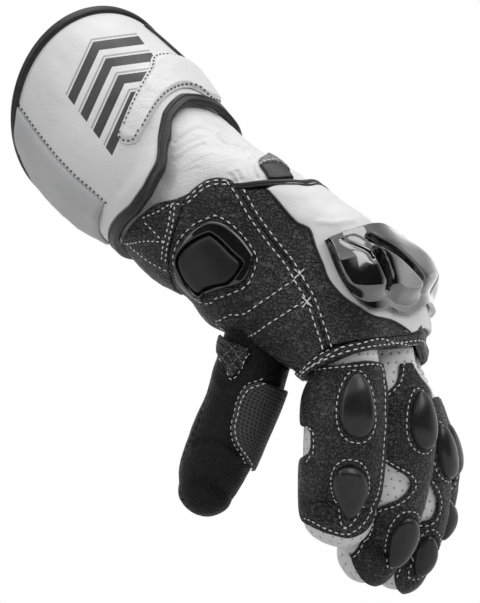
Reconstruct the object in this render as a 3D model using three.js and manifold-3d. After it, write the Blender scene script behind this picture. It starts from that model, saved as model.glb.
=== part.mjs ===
// A left racing glove with a long gauntlet, as it looks when worn: the cuff runs up to the left,
// the back of the hand faces up and right, and the fingers and thumb hang down.
// Millimetres, +Z up, +X to the viewer's right, the thumb side of the glove faces -Y.
// The origin is the middle of the wrist.

import * as THREE from 'three';
import Module from 'manifold-3d';

const wasm = await Module();
wasm.setup();

// Driving dimensions

const LEATHER_WALL = 2;
const CUFF_WALL = 2.2;
const PANEL_THICK = 1.3;
const GAP = 0.4;
const PANEL_TOP = GAP + PANEL_THICK;
const PAD_SEAT = PANEL_TOP + GAP;
const SUNK = -0.8;
const GRIP_NEAR = 0.42;
const FINGER_SEAT = 1.1;
const FINGER_TOP = FINGER_SEAT + PANEL_THICK;
const PAD_GAP = 0.6;
const HOLE_ROOM = 0.7;
const SLIVER = 0.05;
const SECTOR_SLIVER = 0.12;
const TURN_STEP = 0.02;
const SEAM_GAP = 0.5;
const GIRTH_SIDES = 24;
const SECTOR_REACH = 8;
const CHANNEL_PUFF = 1.6;
const ARMOUR_SEAT = PAD_SEAT + 0.8;

const RIM_BINDING_WIDE = 3.4;
const FLAP_BINDING_WIDE = 5.4;
const BINDING_PROUD = 1.1;
const STRAP_WIDE = 4;
const HEM_WIDE = 5.2;
const STRAP_THICK = 1.6;
const SLIDER_PLATE_THICK = 3;
const FINGER_PAD_RISE = 0.22;
const KNUCKLE_LOBE_HEIGHT = 7.5;
const KNUCKLE_SKIRT_HEIGHT = 1.4;
const KNUCKLE_SLOT_SHARE = 0.45;
const SLIDER_RING_HEIGHT = 1;
const SLIDER_RING_RISE = 1.2;
const SLIDER_SOFT_EDGE = 0.3;
const PAD_SOFT_EDGE = 0.08;
const PAD_TAPER = 0.32;
const BACK_COLUMNS = 5;

// Limbs: one row for each section, from the arm towards the fingertips.
// x, y, z is the section's middle. tilt turns its line in the front view, degrees up from +X.
// rake leans its far side towards the fingers, and skew turns that lean, in degrees.

const cuffRows = [
  { x: -54, y: 36, z: 46, tilt: 58, rake: 52, skew: -9, wide: 43.6, deep: 45.5 },
  { x: -36.5, y: 22, z: 29, tilt: 55, rake: 40, skew: 0, wide: 43.8, deep: 40 },
  { x: -24, y: 14, z: 17, tilt: 50, rake: 32, skew: 0, wide: 40.4, deep: 37 },
  { x: -17, y: 10, z: 10.4, tilt: 46.5, rake: 29, skew: 0, wide: 38.9, deep: 36 },
  { x: -5, y: 2.5, z: 0.5, tilt: 48, rake: 28, skew: 0, wide: 40.2, deep: 38.5 },
];

// The hand's section is the skin round four discs in a row: the ball of the thumb, then the
// index, middle and little finger's side. A disc is [along the section's line, depth, radius].

const handRows = [
  { x: -36, y: 24, z: 29, tilt: 49, rake: 29,
    thenar: [-6, 0, 24], index: [5, -4, 24], middle: [6, 1, 24], little: [5, 4, 24] },
  { x: -17, y: 11, z: 11, tilt: 49, rake: 29,
    thenar: [-9, -1, 25.5], index: [8, -5, 25], middle: [9, 0, 26], little: [8, 4, 25] },
  { x: 0.5, y: 1, z: -3.5, tilt: 50, rake: 28,
    thenar: [-11, -3, 26], index: [9, -8, 26], middle: [11, 0, 25], little: [9, 8, 26] },
  { x: 21, y: 0, z: -17.5, tilt: 45, rake: 26,
    thenar: [-13, -11, 24], index: [14, -16, 22], middle: [16, 2, 21], little: [13, 19, 21] },
  { x: 35, y: 0, z: -32, tilt: 40, rake: 24,
    thenar: [-17, -16, 22], index: [20, -21, 19], middle: [21, 4, 18.5], little: [17, 27, 17] },
  { x: 48.6, y: 0, z: -40, tilt: 40, rake: 22,
    thenar: [-16, -21, 20], index: [18, -24, 19], middle: [20.5, 4, 18], little: [16.5, 31, 16.5] },
  { x: 59, y: 0, z: -51, tilt: 39, rake: 20,
    thenar: [-18, -26, 18], index: [12, -27, 18.5], middle: [19.5, 2, 19], little: [18.5, 34, 17] },
  { x: 65, y: 0, z: -63, tilt: 32, rake: 15,
    thenar: [-14, -30, 17.5], index: [2, -31, 17.5], middle: [17, -2, 18], little: [16, 38.5, 17] },
  { x: 68.5, y: 0, z: -74, tilt: 20, rake: 9,
    thenar: [-9, -35, 17.5], index: [-8, -35, 18], middle: [11, -8, 17], little: [11.5, 42.5, 16] },
];

// turn is how far the back of the finger faces round from the viewer to the right, in degrees.

const indexRows = [
  { x: 60, y: -35, z: -64, tilt: 0, rake: 0, wide: 14.4, deep: 14, turn: 15 },
  { x: 61, y: -34.6, z: -74, tilt: 0, rake: 0, wide: 14.6, deep: 14.2, turn: 15 },
  { x: 60.3, y: -36, z: -86, tilt: 0, rake: 0, wide: 17.3, deep: 15.3, turn: 15 },
  { x: 60, y: -36.5, z: -102, tilt: -1, rake: 4, wide: 17.5, deep: 15.5, turn: 15 },
  { x: 59.3, y: -34, z: -118, tilt: -2, rake: 10, wide: 17.3, deep: 15, turn: 15 },
  { x: 58.7, y: -29, z: -130, tilt: -3, rake: 22, wide: 17, deep: 14.5, turn: 15 },
  { x: 57.5, y: -22, z: -140, tilt: -5, rake: 35, wide: 15.6, deep: 13.5, turn: 15 },
];
const middleRows = [
  { x: 77.8, y: -8.5, z: -64, tilt: 4, rake: 0, wide: 12.4, deep: 13, turn: 42 },
  { x: 79, y: -9.5, z: -74, tilt: 4, rake: 0, wide: 13, deep: 13.4, turn: 42 },
  { x: 82.3, y: -12, z: -86, tilt: 3, rake: 0, wide: 14.4, deep: 14.4, turn: 42 },
  { x: 84, y: -13, z: -106, tilt: -2, rake: 5, wide: 14.4, deep: 14.5, turn: 42 },
  { x: 81.5, y: -11, z: -126, tilt: -9, rake: 15, wide: 14.4, deep: 14, turn: 42 },
  { x: 76, y: -5, z: -144, tilt: -20, rake: 25, wide: 14, deep: 13.6, turn: 42 },
  { x: 70, y: 3, z: -158, tilt: -27, rake: 33, wide: 12.8, deep: 12.5, turn: 42 },
];
const ringRows = [
  { x: 79, y: 15.7, z: -65, tilt: 16, rake: 0, wide: 10.6, deep: 10.8, turn: 57 },
  { x: 81.5, y: 16.2, z: -75, tilt: 18, rake: 0, wide: 11.4, deep: 11.6, turn: 57 },
  { x: 88, y: 18.5, z: -90, tilt: 14, rake: 0, wide: 12.6, deep: 13.2, turn: 57 },
  { x: 92.5, y: 19.5, z: -112, tilt: 0, rake: 3, wide: 13, deep: 14, turn: 57 },
  { x: 92.3, y: 23, z: -133, tilt: -8, rake: 12, wide: 13, deep: 13.5, turn: 57 },
  { x: 89, y: 29.5, z: -150, tilt: -17, rake: 25, wide: 12.8, deep: 13, turn: 57 },
  { x: 84.5, y: 37, z: -163, tilt: -22, rake: 33, wide: 11.8, deep: 11.5, turn: 57 },
];
const littleRows = [
  { x: 82, y: 37, z: -66, tilt: 18, rake: 0, wide: 9.2, deep: 9.4, turn: 72 },
  { x: 86, y: 39.6, z: -76, tilt: 24, rake: 0, wide: 9.7, deep: 9.9, turn: 72 },
  { x: 90, y: 46, z: -91, tilt: 20, rake: 0, wide: 12, deep: 12.4, turn: 72 },
  { x: 97, y: 50.5, z: -110, tilt: 6, rake: 5, wide: 12.4, deep: 12.6, turn: 72 },
  { x: 98.5, y: 54.5, z: -126, tilt: -5, rake: 12, wide: 12.2, deep: 12, turn: 72 },
  { x: 96.5, y: 59.5, z: -140, tilt: -10, rake: 20, wide: 11.2, deep: 11, turn: 72 },
];
const thumbRows = [
  { x: 24, y: -14, z: -56, tilt: -10, rake: 0, wide: 16.4, deep: 14.4, turn: -20 },
  { x: 18, y: -15, z: -76, tilt: -18, rake: 0, wide: 16.5, deep: 15, turn: -20 },
  { x: 13.3, y: -15, z: -90, tilt: -21, rake: 0, wide: 15.8, deep: 15, turn: -20 },
  { x: 8.5, y: -14, z: -101, tilt: -22, rake: 4, wide: 15.8, deep: 15, turn: -20 },
  { x: 4, y: -12, z: -112, tilt: -22, rake: 8, wide: 15.6, deep: 14.5, turn: -20 },
  { x: 0, y: -9, z: -122, tilt: -20, rake: 12, wide: 14.4, deep: 13.5, turn: -20 },
  { x: -2, y: -6, z: -129, tilt: -18, rake: 15, wide: 12.4, deep: 11.5, turn: -20 },
];

// Geometry of one limb

const STEPS = 6;
const AROUND = 72;
const SMOOTHINGS = 2;
const DISCS_BETWEEN = 6;
const PALM_HOLLOW = 7;

function lerp(a, b, t) {
  return a + (b - a) * t;
}

function wrap(turns) {
  return turns - Math.floor(turns);
}

function columnsOf(row) {
  const place = [row.x, row.y, row.z, row.tilt, row.rake, row.skew ?? 0];
  if (row.thenar) {
    return [...place, ...row.thenar, ...row.index, ...row.middle, ...row.little];
  }
  return [...place, row.wide, row.deep, row.turn ?? 0];
}

// A smooth curve through the rows, column by column.
function between(table, u) {
  const last = table.length - 1;
  const i = Math.min(Math.floor(u), last - 1);
  const t = u - i;
  return table[i].map((b, column) => {
    const c = table[i + 1][column];
    const a = i > 0 ? table[i - 1][column] : 2 * b - c;
    const d = i + 2 <= last ? table[i + 2][column] : 2 * c - b;
    return 0.5 * (2 * b + (c - a) * t + (2 * a - 5 * b + 4 * c - d) * t * t
      + (3 * b - a - 3 * c + d) * t * t * t);
  });
}

// How far the skin round a row of discs lies from the middle, in each direction round it.
function skinRadii(discs) {
  let radii = new Array(AROUND).fill(PALM_HOLLOW);
  for (let k = 0; k < AROUND; k++) {
    const angle = (2 * Math.PI * k) / AROUND;
    const [dirP, dirQ] = [Math.sin(angle), -Math.cos(angle)];
    for (let d = 0; d + 1 < discs.length; d++) {
      for (let s = 0; s <= DISCS_BETWEEN; s++) {
        const [p, q, r] = discs[d].map((value, c) => lerp(value, discs[d + 1][c], s / DISCS_BETWEEN));
        const along = dirP * p + dirQ * q;
        const inside = r * r - (p * p + q * q - along * along);
        if (inside > 0) radii[k] = Math.max(radii[k], along + Math.sqrt(inside));
      }
    }
  }
  for (let pass = 0; pass < SMOOTHINGS; pass++) {
    const beside = (k) => radii[(k + AROUND - 1) % AROUND] + radii[(k + 1) % AROUND];
    radii = radii.map((r, k) => 0.5 * r + 0.25 * beside(k));
  }
  return radii;
}

// A limb is a lofted skin. u counts its rows, v its turns round it: 0 at the side that faces the
// viewer, or the back of a finger, 0.25 at the upper right, 0.5 behind, 0.75 at the palm side.
// h is the height over the skin.
class Limb {
  constructor(rows, { square = 2, tip = 0 } = {}) {
    this.table = rows.map(columnsOf);
    this.square = square;
    this.tip = tip;
    this.end = rows.length - 1;
    this.reach = this.end + (tip > 0 ? 1 : 0);
    this.grid = [];
    for (let i = 0; i <= this.reach * STEPS; i++) this.grid.push(this.ring(i / STEPS));
    this.findNormals();
  }

  frame(numbers) {
    const [tilt, rake, skew] = numbers.slice(3, 6).map(THREE.MathUtils.degToRad);
    const line = new THREE.Vector3(Math.cos(tilt), 0, Math.sin(tilt));
    const lean = new THREE.Vector3(Math.sin(tilt + skew), 0, -Math.cos(tilt + skew));
    const depth = new THREE.Vector3(0, Math.cos(rake), 0).addScaledVector(lean, Math.sin(rake));
    return { middle: new THREE.Vector3(...numbers), line, depth };
  }

  ring(u) {
    const numbers = between(this.table, Math.min(u, this.end));
    const { middle, line, depth } = this.frame(numbers);
    const cap = (Math.max(0, u - this.end) * Math.PI) / 2;
    const shrink = Math.cos(cap);
    const rise = this.tip * Math.sin(cap);
    const onward = new THREE.Vector3().crossVectors(depth, line).multiplyScalar(rise);
    const discs = [6, 9, 12, 15].map((start) => numbers.slice(start, start + 3));
    const radii = numbers.length > 9 ? skinRadii(discs) : null;
    const points = [];
    for (let k = 0; k < AROUND; k++) {
      const angle = (2 * Math.PI * k) / AROUND;
      let [p, q] = [Math.sin(angle), -Math.cos(angle)];
      if (radii) {
        [p, q] = [p * radii[k], q * radii[k]];
      } else {
        const [wide, deep, turn] = numbers.slice(6, 9);
        const power = 2 / this.square;
        const across = wide * Math.sign(p) * Math.abs(p) ** power;
        const through = deep * Math.sign(q) * Math.abs(q) ** power;
        const turned = THREE.MathUtils.degToRad(turn);
        const [c, s] = [Math.cos(turned), Math.sin(turned)];
        [p, q] = [across * c - through * s, across * s + through * c];
      }
      const point = middle.clone().add(onward);
      points.push(point.addScaledVector(line, p * shrink).addScaledVector(depth, q * shrink));
    }
    return points;
  }

  findNormals() {
    const last = this.grid.length - 1;
    this.normals = this.grid.map((points, i) => points.map((point, k) => {
      const before = this.grid[Math.max(i - 1, 0)];
      const after = this.grid[Math.min(i + 1, last)];
      const alongLimb = after[k].clone().sub(before[k]);
      const round = points[(k + 1) % AROUND].clone().sub(points[(k + AROUND - 1) % AROUND]);
      return alongLimb.cross(round).normalize();
    }));
    if (this.tip > 0) {
      const before = this.grid[last - 1];
      const middle = before[0].clone().lerp(before[AROUND / 2], 0.5);
      const outward = this.grid[last][0].clone().sub(middle).normalize();
      this.normals[last] = this.normals[last].map(() => outward.clone());
    }
  }

  sample(field, u, v) {
    const row = Math.min(Math.max(u, 0), this.reach) * STEPS;
    const i = Math.min(Math.floor(row), this.grid.length - 2);
    const column = wrap(v) * AROUND;
    const k = Math.floor(column) % AROUND;
    const next = (k + 1) % AROUND;
    const near = field[i][k].clone().lerp(field[i][next], column - Math.floor(column));
    const far = field[i + 1][k].clone().lerp(field[i + 1][next], column - Math.floor(column));
    return near.lerp(far, row - i);
  }

  point(u, v, h = 0) {
    return this.sample(this.grid, u, v).addScaledVector(this.sample(this.normals, u, v).normalize(), h);
  }

  // The place on the viewer's side of the skin that shows at [x, z] in the front view, or the
  // nearest place on the outline to it.
  trace([x, z]) {
    let nearest = null;
    let least = Infinity;
    for (let i = 0; i + 1 < this.grid.length; i++) {
      for (let k = 0; k < AROUND; k++) {
        if (this.normals[i][k].y > 0.05) continue;
        const next = (k + 1) % AROUND;
        const [a, b, c] = [this.grid[i][k], this.grid[i][next], this.grid[i + 1][k]];
        const [abX, abZ, acX, acZ] = [b.x - a.x, b.z - a.z, c.x - a.x, c.z - a.z];
        const area = abX * acZ - abZ * acX;
        if (Math.abs(area) < 1e-6) continue;
        const across = ((x - a.x) * acZ - (z - a.z) * acX) / area;
        const along = (abX * (z - a.z) - abZ * (x - a.x)) / area;
        const missBy = Math.hypot(
          (across - THREE.MathUtils.clamp(across, 0, 1)) * Math.hypot(abX, abZ),
          (along - THREE.MathUtils.clamp(along, 0, 1)) * Math.hypot(acX, acZ),
        );
        if (missBy < least) {
          least = missBy;
          const kept = [THREE.MathUtils.clamp(along, 0, 1), THREE.MathUtils.clamp(across, 0, 1)];
          nearest = [(i + kept[0]) / STEPS, (k + kept[1]) / AROUND];
        }
      }
    }
    return nearest;
  }
}

// Edges: a list of places on a limb, each [x, z] as seen from the front or { u, v } where hidden.

function edge(limb, places) {
  return places.map((place) => {
    const [u, v] = Array.isArray(place) ? limb.trace(place) : [place.u, place.v];
    return [u, v > 0.5 ? v - 1 : v];
  });
}

function along(list, t) {
  const at = t * (list.length - 1);
  const i = Math.min(Math.floor(at), list.length - 2);
  return list[i].map((value, c) => lerp(value, list[i + 1][c], at - i));
}

// The u of an edge that runs all round a limb, at v. It is straight across the hidden side.
function edgeRound(list) {
  const sorted = list.map(([u, v]) => [u, wrap(v)]).sort((a, b) => a[1] - b[1]);
  return (turns) => {
    const v = wrap(turns);
    const after = sorted.findIndex((place) => place[1] > v);
    const b = after < 0 ? [sorted[0][0], sorted[0][1] + 1] : sorted[after];
    const a = after < 0 ? sorted[sorted.length - 1] : sorted[(after + sorted.length - 1) % sorted.length];
    const start = a[1] > b[1] ? a[1] - 1 : a[1];
    return lerp(a[0], b[0], (v - start) / (b[1] - start));
  };
}

// Millimetres for each unit of u at a place on a limb.
function reachPerRow(limb, u, v) {
  const step = 0.1;
  const before = limb.point(Math.max(u - step, 0), v);
  const after = limb.point(Math.max(u - step, 0) + 2 * step, v);
  return after.distanceTo(before) / (2 * step);
}

// Closed bodies, as lists of corners and triangles

function newBody() {
  return { corners: [], faces: [] };
}

function addCorner(body, point) {
  body.corners.push(point);
  return body.corners.length - 1;
}

function addQuad(body, a, b, c, d) {
  body.faces.push([a, b, c], [a, c, d]);
}

function volumeOf(body) {
  return body.faces.reduce((sum, [a, b, c]) => {
    const [p, q, r] = [body.corners[a], body.corners[b], body.corners[c]];
    return sum + p.dot(q.clone().cross(r)) / 6;
  }, 0);
}

function facingOut(body) {
  if (volumeOf(body) < 0) body.faces = body.faces.map(([a, b, c]) => [a, c, b]);
  return body;
}

// A panel that lies on a limb between two heights. place(s, t) gives its [u, v]; a panel that
// goes all the way round is closed in t.
function panel(limb, place, { rows, cols, low, high, round = false }) {
  const body = newBody();
  const columns = round ? cols : cols + 1;
  const heightOf = (height, s, t) => (typeof height === 'function' ? height(s, t) : height);
  const skin = (height) => {
    const grid = [];
    for (let i = 0; i <= rows; i++) {
      grid.push([]);
      for (let k = 0; k < columns; k++) {
        const [s, t] = [i / rows, k / cols];
        const [u, v] = place(s, t);
        grid[i].push(addCorner(body, limb.point(u, v, heightOf(height, s, t))));
      }
    }
    return grid;
  };
  const [under, over] = [skin(low), skin(high)];
  const last = round ? columns : columns - 1;
  for (let k = 0; k < last; k++) {
    const next = (k + 1) % columns;
    for (let i = 0; i < rows; i++) {
      addQuad(body, over[i][k], over[i + 1][k], over[i + 1][next], over[i][next]);
      addQuad(body, under[i][k], under[i][next], under[i + 1][next], under[i + 1][k]);
    }
    addQuad(body, under[0][k], over[0][k], over[0][next], under[0][next]);
    addQuad(body, under[rows][next], over[rows][next], over[rows][k], under[rows][k]);
  }
  if (!round) {
    for (let i = 0; i < rows; i++) {
      addQuad(body, under[i][0], under[i + 1][0], over[i + 1][0], over[i][0]);
      addQuad(body, over[i][cols], over[i + 1][cols], under[i + 1][cols], under[i][cols]);
    }
  }
  return facingOut(body);
}

// A panel between two edges.
function ribbon(limb, nearEdge, farEdge, { rows, cols, low = SUNK, high = PANEL_TOP }) {
  const place = (s, t) => {
    const [near, far] = [along(nearEdge, s), along(farEdge, s)];
    return [lerp(near[0], far[0], t), lerp(near[1], far[1], t)];
  };
  return panel(limb, place, { rows, cols, low, high });
}

// Half of the gap at a seam that runs along a limb, in turns.
function seamTurn(limb, u) {
  const ring = ringAt(limb, () => u, GIRTH_SIDES, 0);
  const girth = ring.reduce((sum, point, k) => sum + point.distanceTo(ring[(k + 1) % GIRTH_SIDES]), 0);
  return SEAM_GAP / 2 / girth;
}

// A wall between two turns, short of both by half a seam's gap. Each of edges gives u at v.
// Walls that meet at a seam run opposite ways round, so that their faces there match.
function wallBetween(limb, edges, [from, to], { cols, low, high }) {
  const place = (s, t) => {
    const uOf = edges[Math.round(s * (edges.length - 1))];
    const turn = lerp(from, to, t);
    const short = seamTurn(limb, uOf(turn));
    const [least, most] = [Math.min(from, to), Math.max(from, to)];
    const v = THREE.MathUtils.clamp(turn, least + short, most - short);
    return [uOf(v), v];
  };
  return panel(limb, place, { rows: edges.length - 1, cols, low, high });
}

// A raised button: outline(turn) gives its rim as [u, v] steps from the middle.
function button(limb, [u, v], outline, { rings, sides, low, high }) {
  const body = newBody();
  const skin = (height) => {
    const middle = addCorner(body, limb.point(u, v, height(0)));
    const grid = [];
    for (let i = 1; i <= rings; i++) {
      const share = i / rings;
      grid.push(Array.from({ length: sides }, (_, k) => {
        const [du, dv] = outline(k / sides);
        return addCorner(body, limb.point(u + du * share, v + dv * share, height(share)));
      }));
    }
    return { middle, grid };
  };
  const [under, over] = [skin(low), skin(high)];
  for (let k = 0; k < sides; k++) {
    const next = (k + 1) % sides;
    body.faces.push([over.middle, over.grid[0][k], over.grid[0][next]]);
    body.faces.push([under.middle, under.grid[0][next], under.grid[0][k]]);
    for (let i = 0; i + 1 < rings; i++) {
      addQuad(body, over.grid[i][k], over.grid[i + 1][k], over.grid[i + 1][next], over.grid[i][next]);
      addQuad(body, under.grid[i][next], under.grid[i + 1][next], under.grid[i + 1][k], under.grid[i][k]);
    }
    const rim = rings - 1;
    addQuad(body, over.grid[rim][k], under.grid[rim][k], under.grid[rim][next], over.grid[rim][next]);
  }
  return facingOut(body);
}

// A body of rings of corners, each end closed at a middle point.
function stack(rings, firstMiddle, lastMiddle) {
  const body = newBody();
  const first = addCorner(body, firstMiddle);
  const grid = rings.map((points) => points.map((point) => addCorner(body, point)));
  const last = addCorner(body, lastMiddle);
  const count = rings[0].length;
  for (let k = 0; k < count; k++) {
    const next = (k + 1) % count;
    body.faces.push([first, grid[0][k], grid[0][next]]);
    body.faces.push([last, grid[grid.length - 1][next], grid[grid.length - 1][k]]);
    for (let i = 0; i + 1 < grid.length; i++) {
      addQuad(body, grid[i][k], grid[i + 1][k], grid[i + 1][next], grid[i][next]);
    }
  }
  return facingOut(body);
}

function middleOf(points) {
  const sum = points.reduce((total, point) => total.add(point), new THREE.Vector3());
  return sum.divideScalar(points.length);
}

function ringAt(limb, uOf, sides, h) {
  return Array.from({ length: sides }, (_, k) => limb.point(uOf(k / sides), k / sides, h));
}

// A hollow limb, open at its first edge and closed at its end. Each of edges gives u at v.
function pocket(limb, edges, { wall, sides }) {
  const outer = edges.map((uOf) => ringAt(limb, uOf, sides, 0));
  const inner = edges.map((uOf) => ringAt(limb, uOf, sides, -wall));
  const tip = limb.tip > 0 ? limb.point(limb.reach, 0) : middleOf(outer[outer.length - 1]);
  const inward = middleOf(outer[outer.length - 2]).sub(tip).setLength(wall);
  if (!limb.tip) inner[inner.length - 1] = inner[inner.length - 1].map((point) => point.add(inward));
  return stack([...outer.reverse(), ...inner], tip, tip.clone().add(inward));
}

// The room that a pocket's outer skin takes up, with some more round it.
function roomOf(limb, edges, room, sides) {
  const rings = edges.map((uOf) => ringAt(limb, uOf, sides, room)).reverse();
  return toSolid(stack(rings, middleOf(rings[0]), middleOf(rings[rings.length - 1])));
}

function toSolid(body) {
  const vertProperties = new Float32Array(body.corners.flatMap((point) => point.toArray()));
  const triVerts = new Uint32Array(body.faces.flat());
  return new wasm.Manifold(new wasm.Mesh({ numProp: 3, vertProperties, triVerts }));
}

function fromSolid(solid) {
  const mesh = solid.getMesh();
  const geometry = new THREE.BufferGeometry();
  geometry.setAttribute('position', new THREE.BufferAttribute(mesh.vertProperties, 3));
  geometry.setIndex(new THREE.BufferAttribute(mesh.triVerts, 1));
  return geometry;
}

function fromBody(body) {
  const geometry = new THREE.BufferGeometry();
  const positions = new Float32Array(body.corners.flatMap((point) => point.toArray()));
  geometry.setAttribute('position', new THREE.BufferAttribute(positions, 3));
  geometry.setIndex(body.faces.flat());
  return geometry;
}

const finishes = {
  whiteLeather: { color: 0xe4e4e2, roughness: 0.5, metalness: 0 },
  blackLeather: { color: 0x1b1b1c, roughness: 0.55, metalness: 0 },
  binding: { color: 0x2a2b2e, roughness: 0.6, metalness: 0 },
  stretch: { color: 0xa3a5a8, roughness: 0.8, metalness: 0 },
  mattePlate: { color: 0x1c1c1d, roughness: 0.7, metalness: 0 },
  glossArmour: { color: 0x121213, roughness: 0.15, metalness: 0 },
  padArmour: { color: 0x2b2b2d, roughness: 0.35, metalness: 0 },
};

const glove = new THREE.Group();

function add(name, geometry, finish) {
  const mesh = new THREE.Mesh(geometry, new THREE.MeshStandardMaterial(finishes[finish]));
  mesh.name = name;
  glove.add(mesh);
}

// The limbs

const cuff = new Limb(cuffRows);
const hand = new Limb(handRows);
const fingers = {
  index: new Limb(indexRows, { square: 2.4, tip: 13 }),
  middle: new Limb(middleRows, { square: 2.3, tip: 11.5 }),
  ring: new Limb(ringRows, { square: 2.3, tip: 10.5 }),
  little: new Limb(littleRows, { square: 2.3, tip: 11 }),
};
const thumb = new Limb(thumbRows, { square: 2.2, tip: 11 });

const CUFF_SIDES = 24;
const HAND_SIDES = 26;
const FINGER_SIDES = 12;
const SECTOR_STEPS = 4;

// A piece that lies on others: its underside is cut to lie GAP over each of them.
function seated(body, ...carriers) {
  return fromSolid(cutBy(body, carriers));
}

// What is left of a body round the given solids, without crumbs.
function cutBy(body, solids) {
  const cut = solids.reduce((left, solid) => left.subtract(solid), toSolid(body));
  const largest = cut.decompose().sort((a, b) => b.volume() - a.volume())[0];
  return largest.asOriginal().simplify(SLIVER);
}

// Gauntlet

const flapEdge = edgeRound(edge(cuff, [
  [9, 39], [-2.5, 48], [-9, 48.5], [-14.5, 46.5], [-19, 40.5], [-21, 34], [-22, 28], [-22, 21.5],
  [-24.5, 15], [-29, 7], [-35, -1], [-41, -7], [-43.5, -12], [-44, -16],
]));
const flapBack = (v, distance) => flapEdge(v) - distance / reachPerRow(cuff, flapEdge(v), v);
const flapStart = (v) => flapBack(v, FLAP_BINDING_WIDE / 2);
const rimEnd = (v) => (RIM_BINDING_WIDE + GAP) / reachPerRow(cuff, 0.2, v);

function cuffWall(low, high) {
  const place = (s, t) => [lerp(rimEnd(t), flapBack(t, FLAP_BINDING_WIDE / 2 + GAP), s), t];
  return panel(cuff, place, { rows: 6, cols: CUFF_SIDES, low, high, round: true });
}

function binding(startOf, width) {
  const place = (s, t) => [startOf(t) + (s * width) / reachPerRow(cuff, startOf(t) + 0.1, t), t];
  const high = (s) => (s > 0 && s < 1 ? BINDING_PROUD : 0);
  return panel(cuff, place, { rows: 2, cols: CUFF_SIDES, low: -CUFF_WALL, high, round: true });
}

add('cuff_shell', fromBody(cuffWall(-CUFF_WALL, 0)), 'whiteLeather');
add('cuff_rim_binding', fromBody(binding(() => 0, RIM_BINDING_WIDE)), 'binding');
add('cuff_flap_binding', fromBody(binding(flapStart, FLAP_BINDING_WIDE)), 'binding');

const cuffRoom = toSolid(cuffWall(-CUFF_WALL, GAP));
const stretchTop = edge(cuff, [{ u: 0.35, v: -0.112 }, [-67.5, 18.5], [-56, 7.5], [-47.5, 0.5]]);
const stretchBottom = edge(cuff, [
  { u: 0.4, v: -0.3 }, { u: 1.1, v: -0.3 }, { u: 1.8, v: -0.3 }, { u: 2.3, v: -0.29 },
]);
const stretchPanel = ribbon(cuff, stretchTop, stretchBottom, { rows: 6, cols: 4 });
add('cuff_stretch_panel', seated(stretchPanel, cuffRoom), 'stretch');

const channelUpper = edge(cuff, [
  [-41, 29], [-34, 45], [-26.5, 60.5], { u: 1.1, v: 0.2 }, { u: 1.0, v: 0.32 },
]);
const channelLower = edge(cuff, [
  [-33, 28.5], [-25.5, 43.5], [-14.5, 52.5], { u: 1.75, v: 0.22 }, { u: 1.9, v: 0.32 },
]);
const channelHigh = (s, t) => PANEL_TOP + CHANNEL_PUFF * Math.sin(Math.PI * t);
const channelPad = ribbon(cuff, channelUpper, channelLower, { rows: 8, cols: 3, high: channelHigh });
add('cuff_channel', seated(channelPad, cuffRoom), 'whiteLeather');

// Wrist and hand

const strapEdge = edgeRound(edge(hand, [
  { u: 3.35, v: 0.218 }, [43, 9], [32, 10.5], [21, 9.5], [11, 8], [-2, 5.5], [-10.5, 2], [-20, -1.5],
  [-29, -7.5], { u: 1.5, v: -0.206 },
]));
const strapStart = (v, offset) => strapEdge(v) + offset / reachPerRow(hand, strapEdge(v), v);

const WRIST_START = 0.25;
function wristWall(low, high) {
  const place = (s, t) => [lerp(WRIST_START, strapStart(t, -GAP / 2), s), t];
  return panel(hand, place, { rows: 6, cols: HAND_SIDES, low, high, round: true });
}
const wristEdges = [0, 0.2, 0.4, 0.6, 0.8, 1].map((share) => (
  (v) => lerp(WRIST_START, strapStart(v, -GAP / 2), share)));
const wristSpans = {
  wrist_thumb_side: [-6 / HAND_SIDES, 7 / HAND_SIDES],
  wrist_little_side: [20 / HAND_SIDES, 7 / HAND_SIDES],
};
for (const [name, span] of Object.entries(wristSpans)) {
  const options = { cols: HAND_SIDES / 2, low: -LEATHER_WALL, high: 0 };
  add(name, fromBody(wallBetween(hand, wristEdges, span, options)), 'whiteLeather');
}

const hemTop = (v, room) => hand.end - (HEM_WIDE + room) / reachPerRow(hand, hand.end, v);
const handStart = (v) => strapStart(v, GAP / 2);
const handShares = [0, 0.2, 0.4, 0.57, 0.73, 0.88, 1];
const handEdges = handShares.map((share) => (v) => lerp(handStart(v), hemTop(v, 0), share));
handEdges.push(() => hand.end);
const holes = [...Object.values(fingers), thumb].map((limb) => {
  const edges = [0, 0.6, 1.2, 1.8, 2.4].map((u) => () => u);
  return roomOf(limb, edges, HOLE_ROOM, FINGER_SIDES);
});
const thumbHole = holes[holes.length - 1];
const handPocket = pocket(hand, handEdges, { wall: LEATHER_WALL, sides: HAND_SIDES });
const handSolid = cutBy(handPocket, holes);

// The part of the hand between two turns, from its middle out past its skin and both its ends.
function handSector([from, to]) {
  const rings = handRows.map((_, u) => {
    const short = seamTurn(hand, u);
    const middle = middleOf(hand.grid[u * STEPS]);
    const aside = hand.point(u, (from + to) / 2).sub(middle).setLength(SEAM_GAP);
    const inset = to > from ? short : -short;
    const arc = Array.from({ length: SECTOR_STEPS + 1 }, (__, k) => {
      const v = lerp(from + inset, to - inset, k / SECTOR_STEPS);
      return hand.point(u, v, SECTOR_REACH);
    });
    return [middle.add(aside), ...arc];
  });
  const last = rings.length - 1;
  const onward = middleOf(rings[last]).sub(middleOf(rings[last - 1])).setLength(SECTOR_REACH);
  rings.push(rings[last].map((point) => point.clone().add(onward)));
  return toSolid(stack(rings, middleOf(rings[0]), middleOf(rings[last + 1])));
}

const handSpans = {
  hand_back_near: [-0.0577, 0.25],
  hand_back_far: [0.4423, 0.25],
  hand_palm_far: [0.4423, 0.75],
  hand_palm_near: [0.9423, 0.75],
};
for (const [name, span] of Object.entries(handSpans)) {
  const cut = handSolid.intersect(handSector(span));
  const largest = cut.decompose().sort((a, b) => b.volume() - a.volume())[0];
  add(name, fromSolid(largest.asOriginal().simplify(SECTOR_SLIVER)), 'blackLeather');
}

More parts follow.
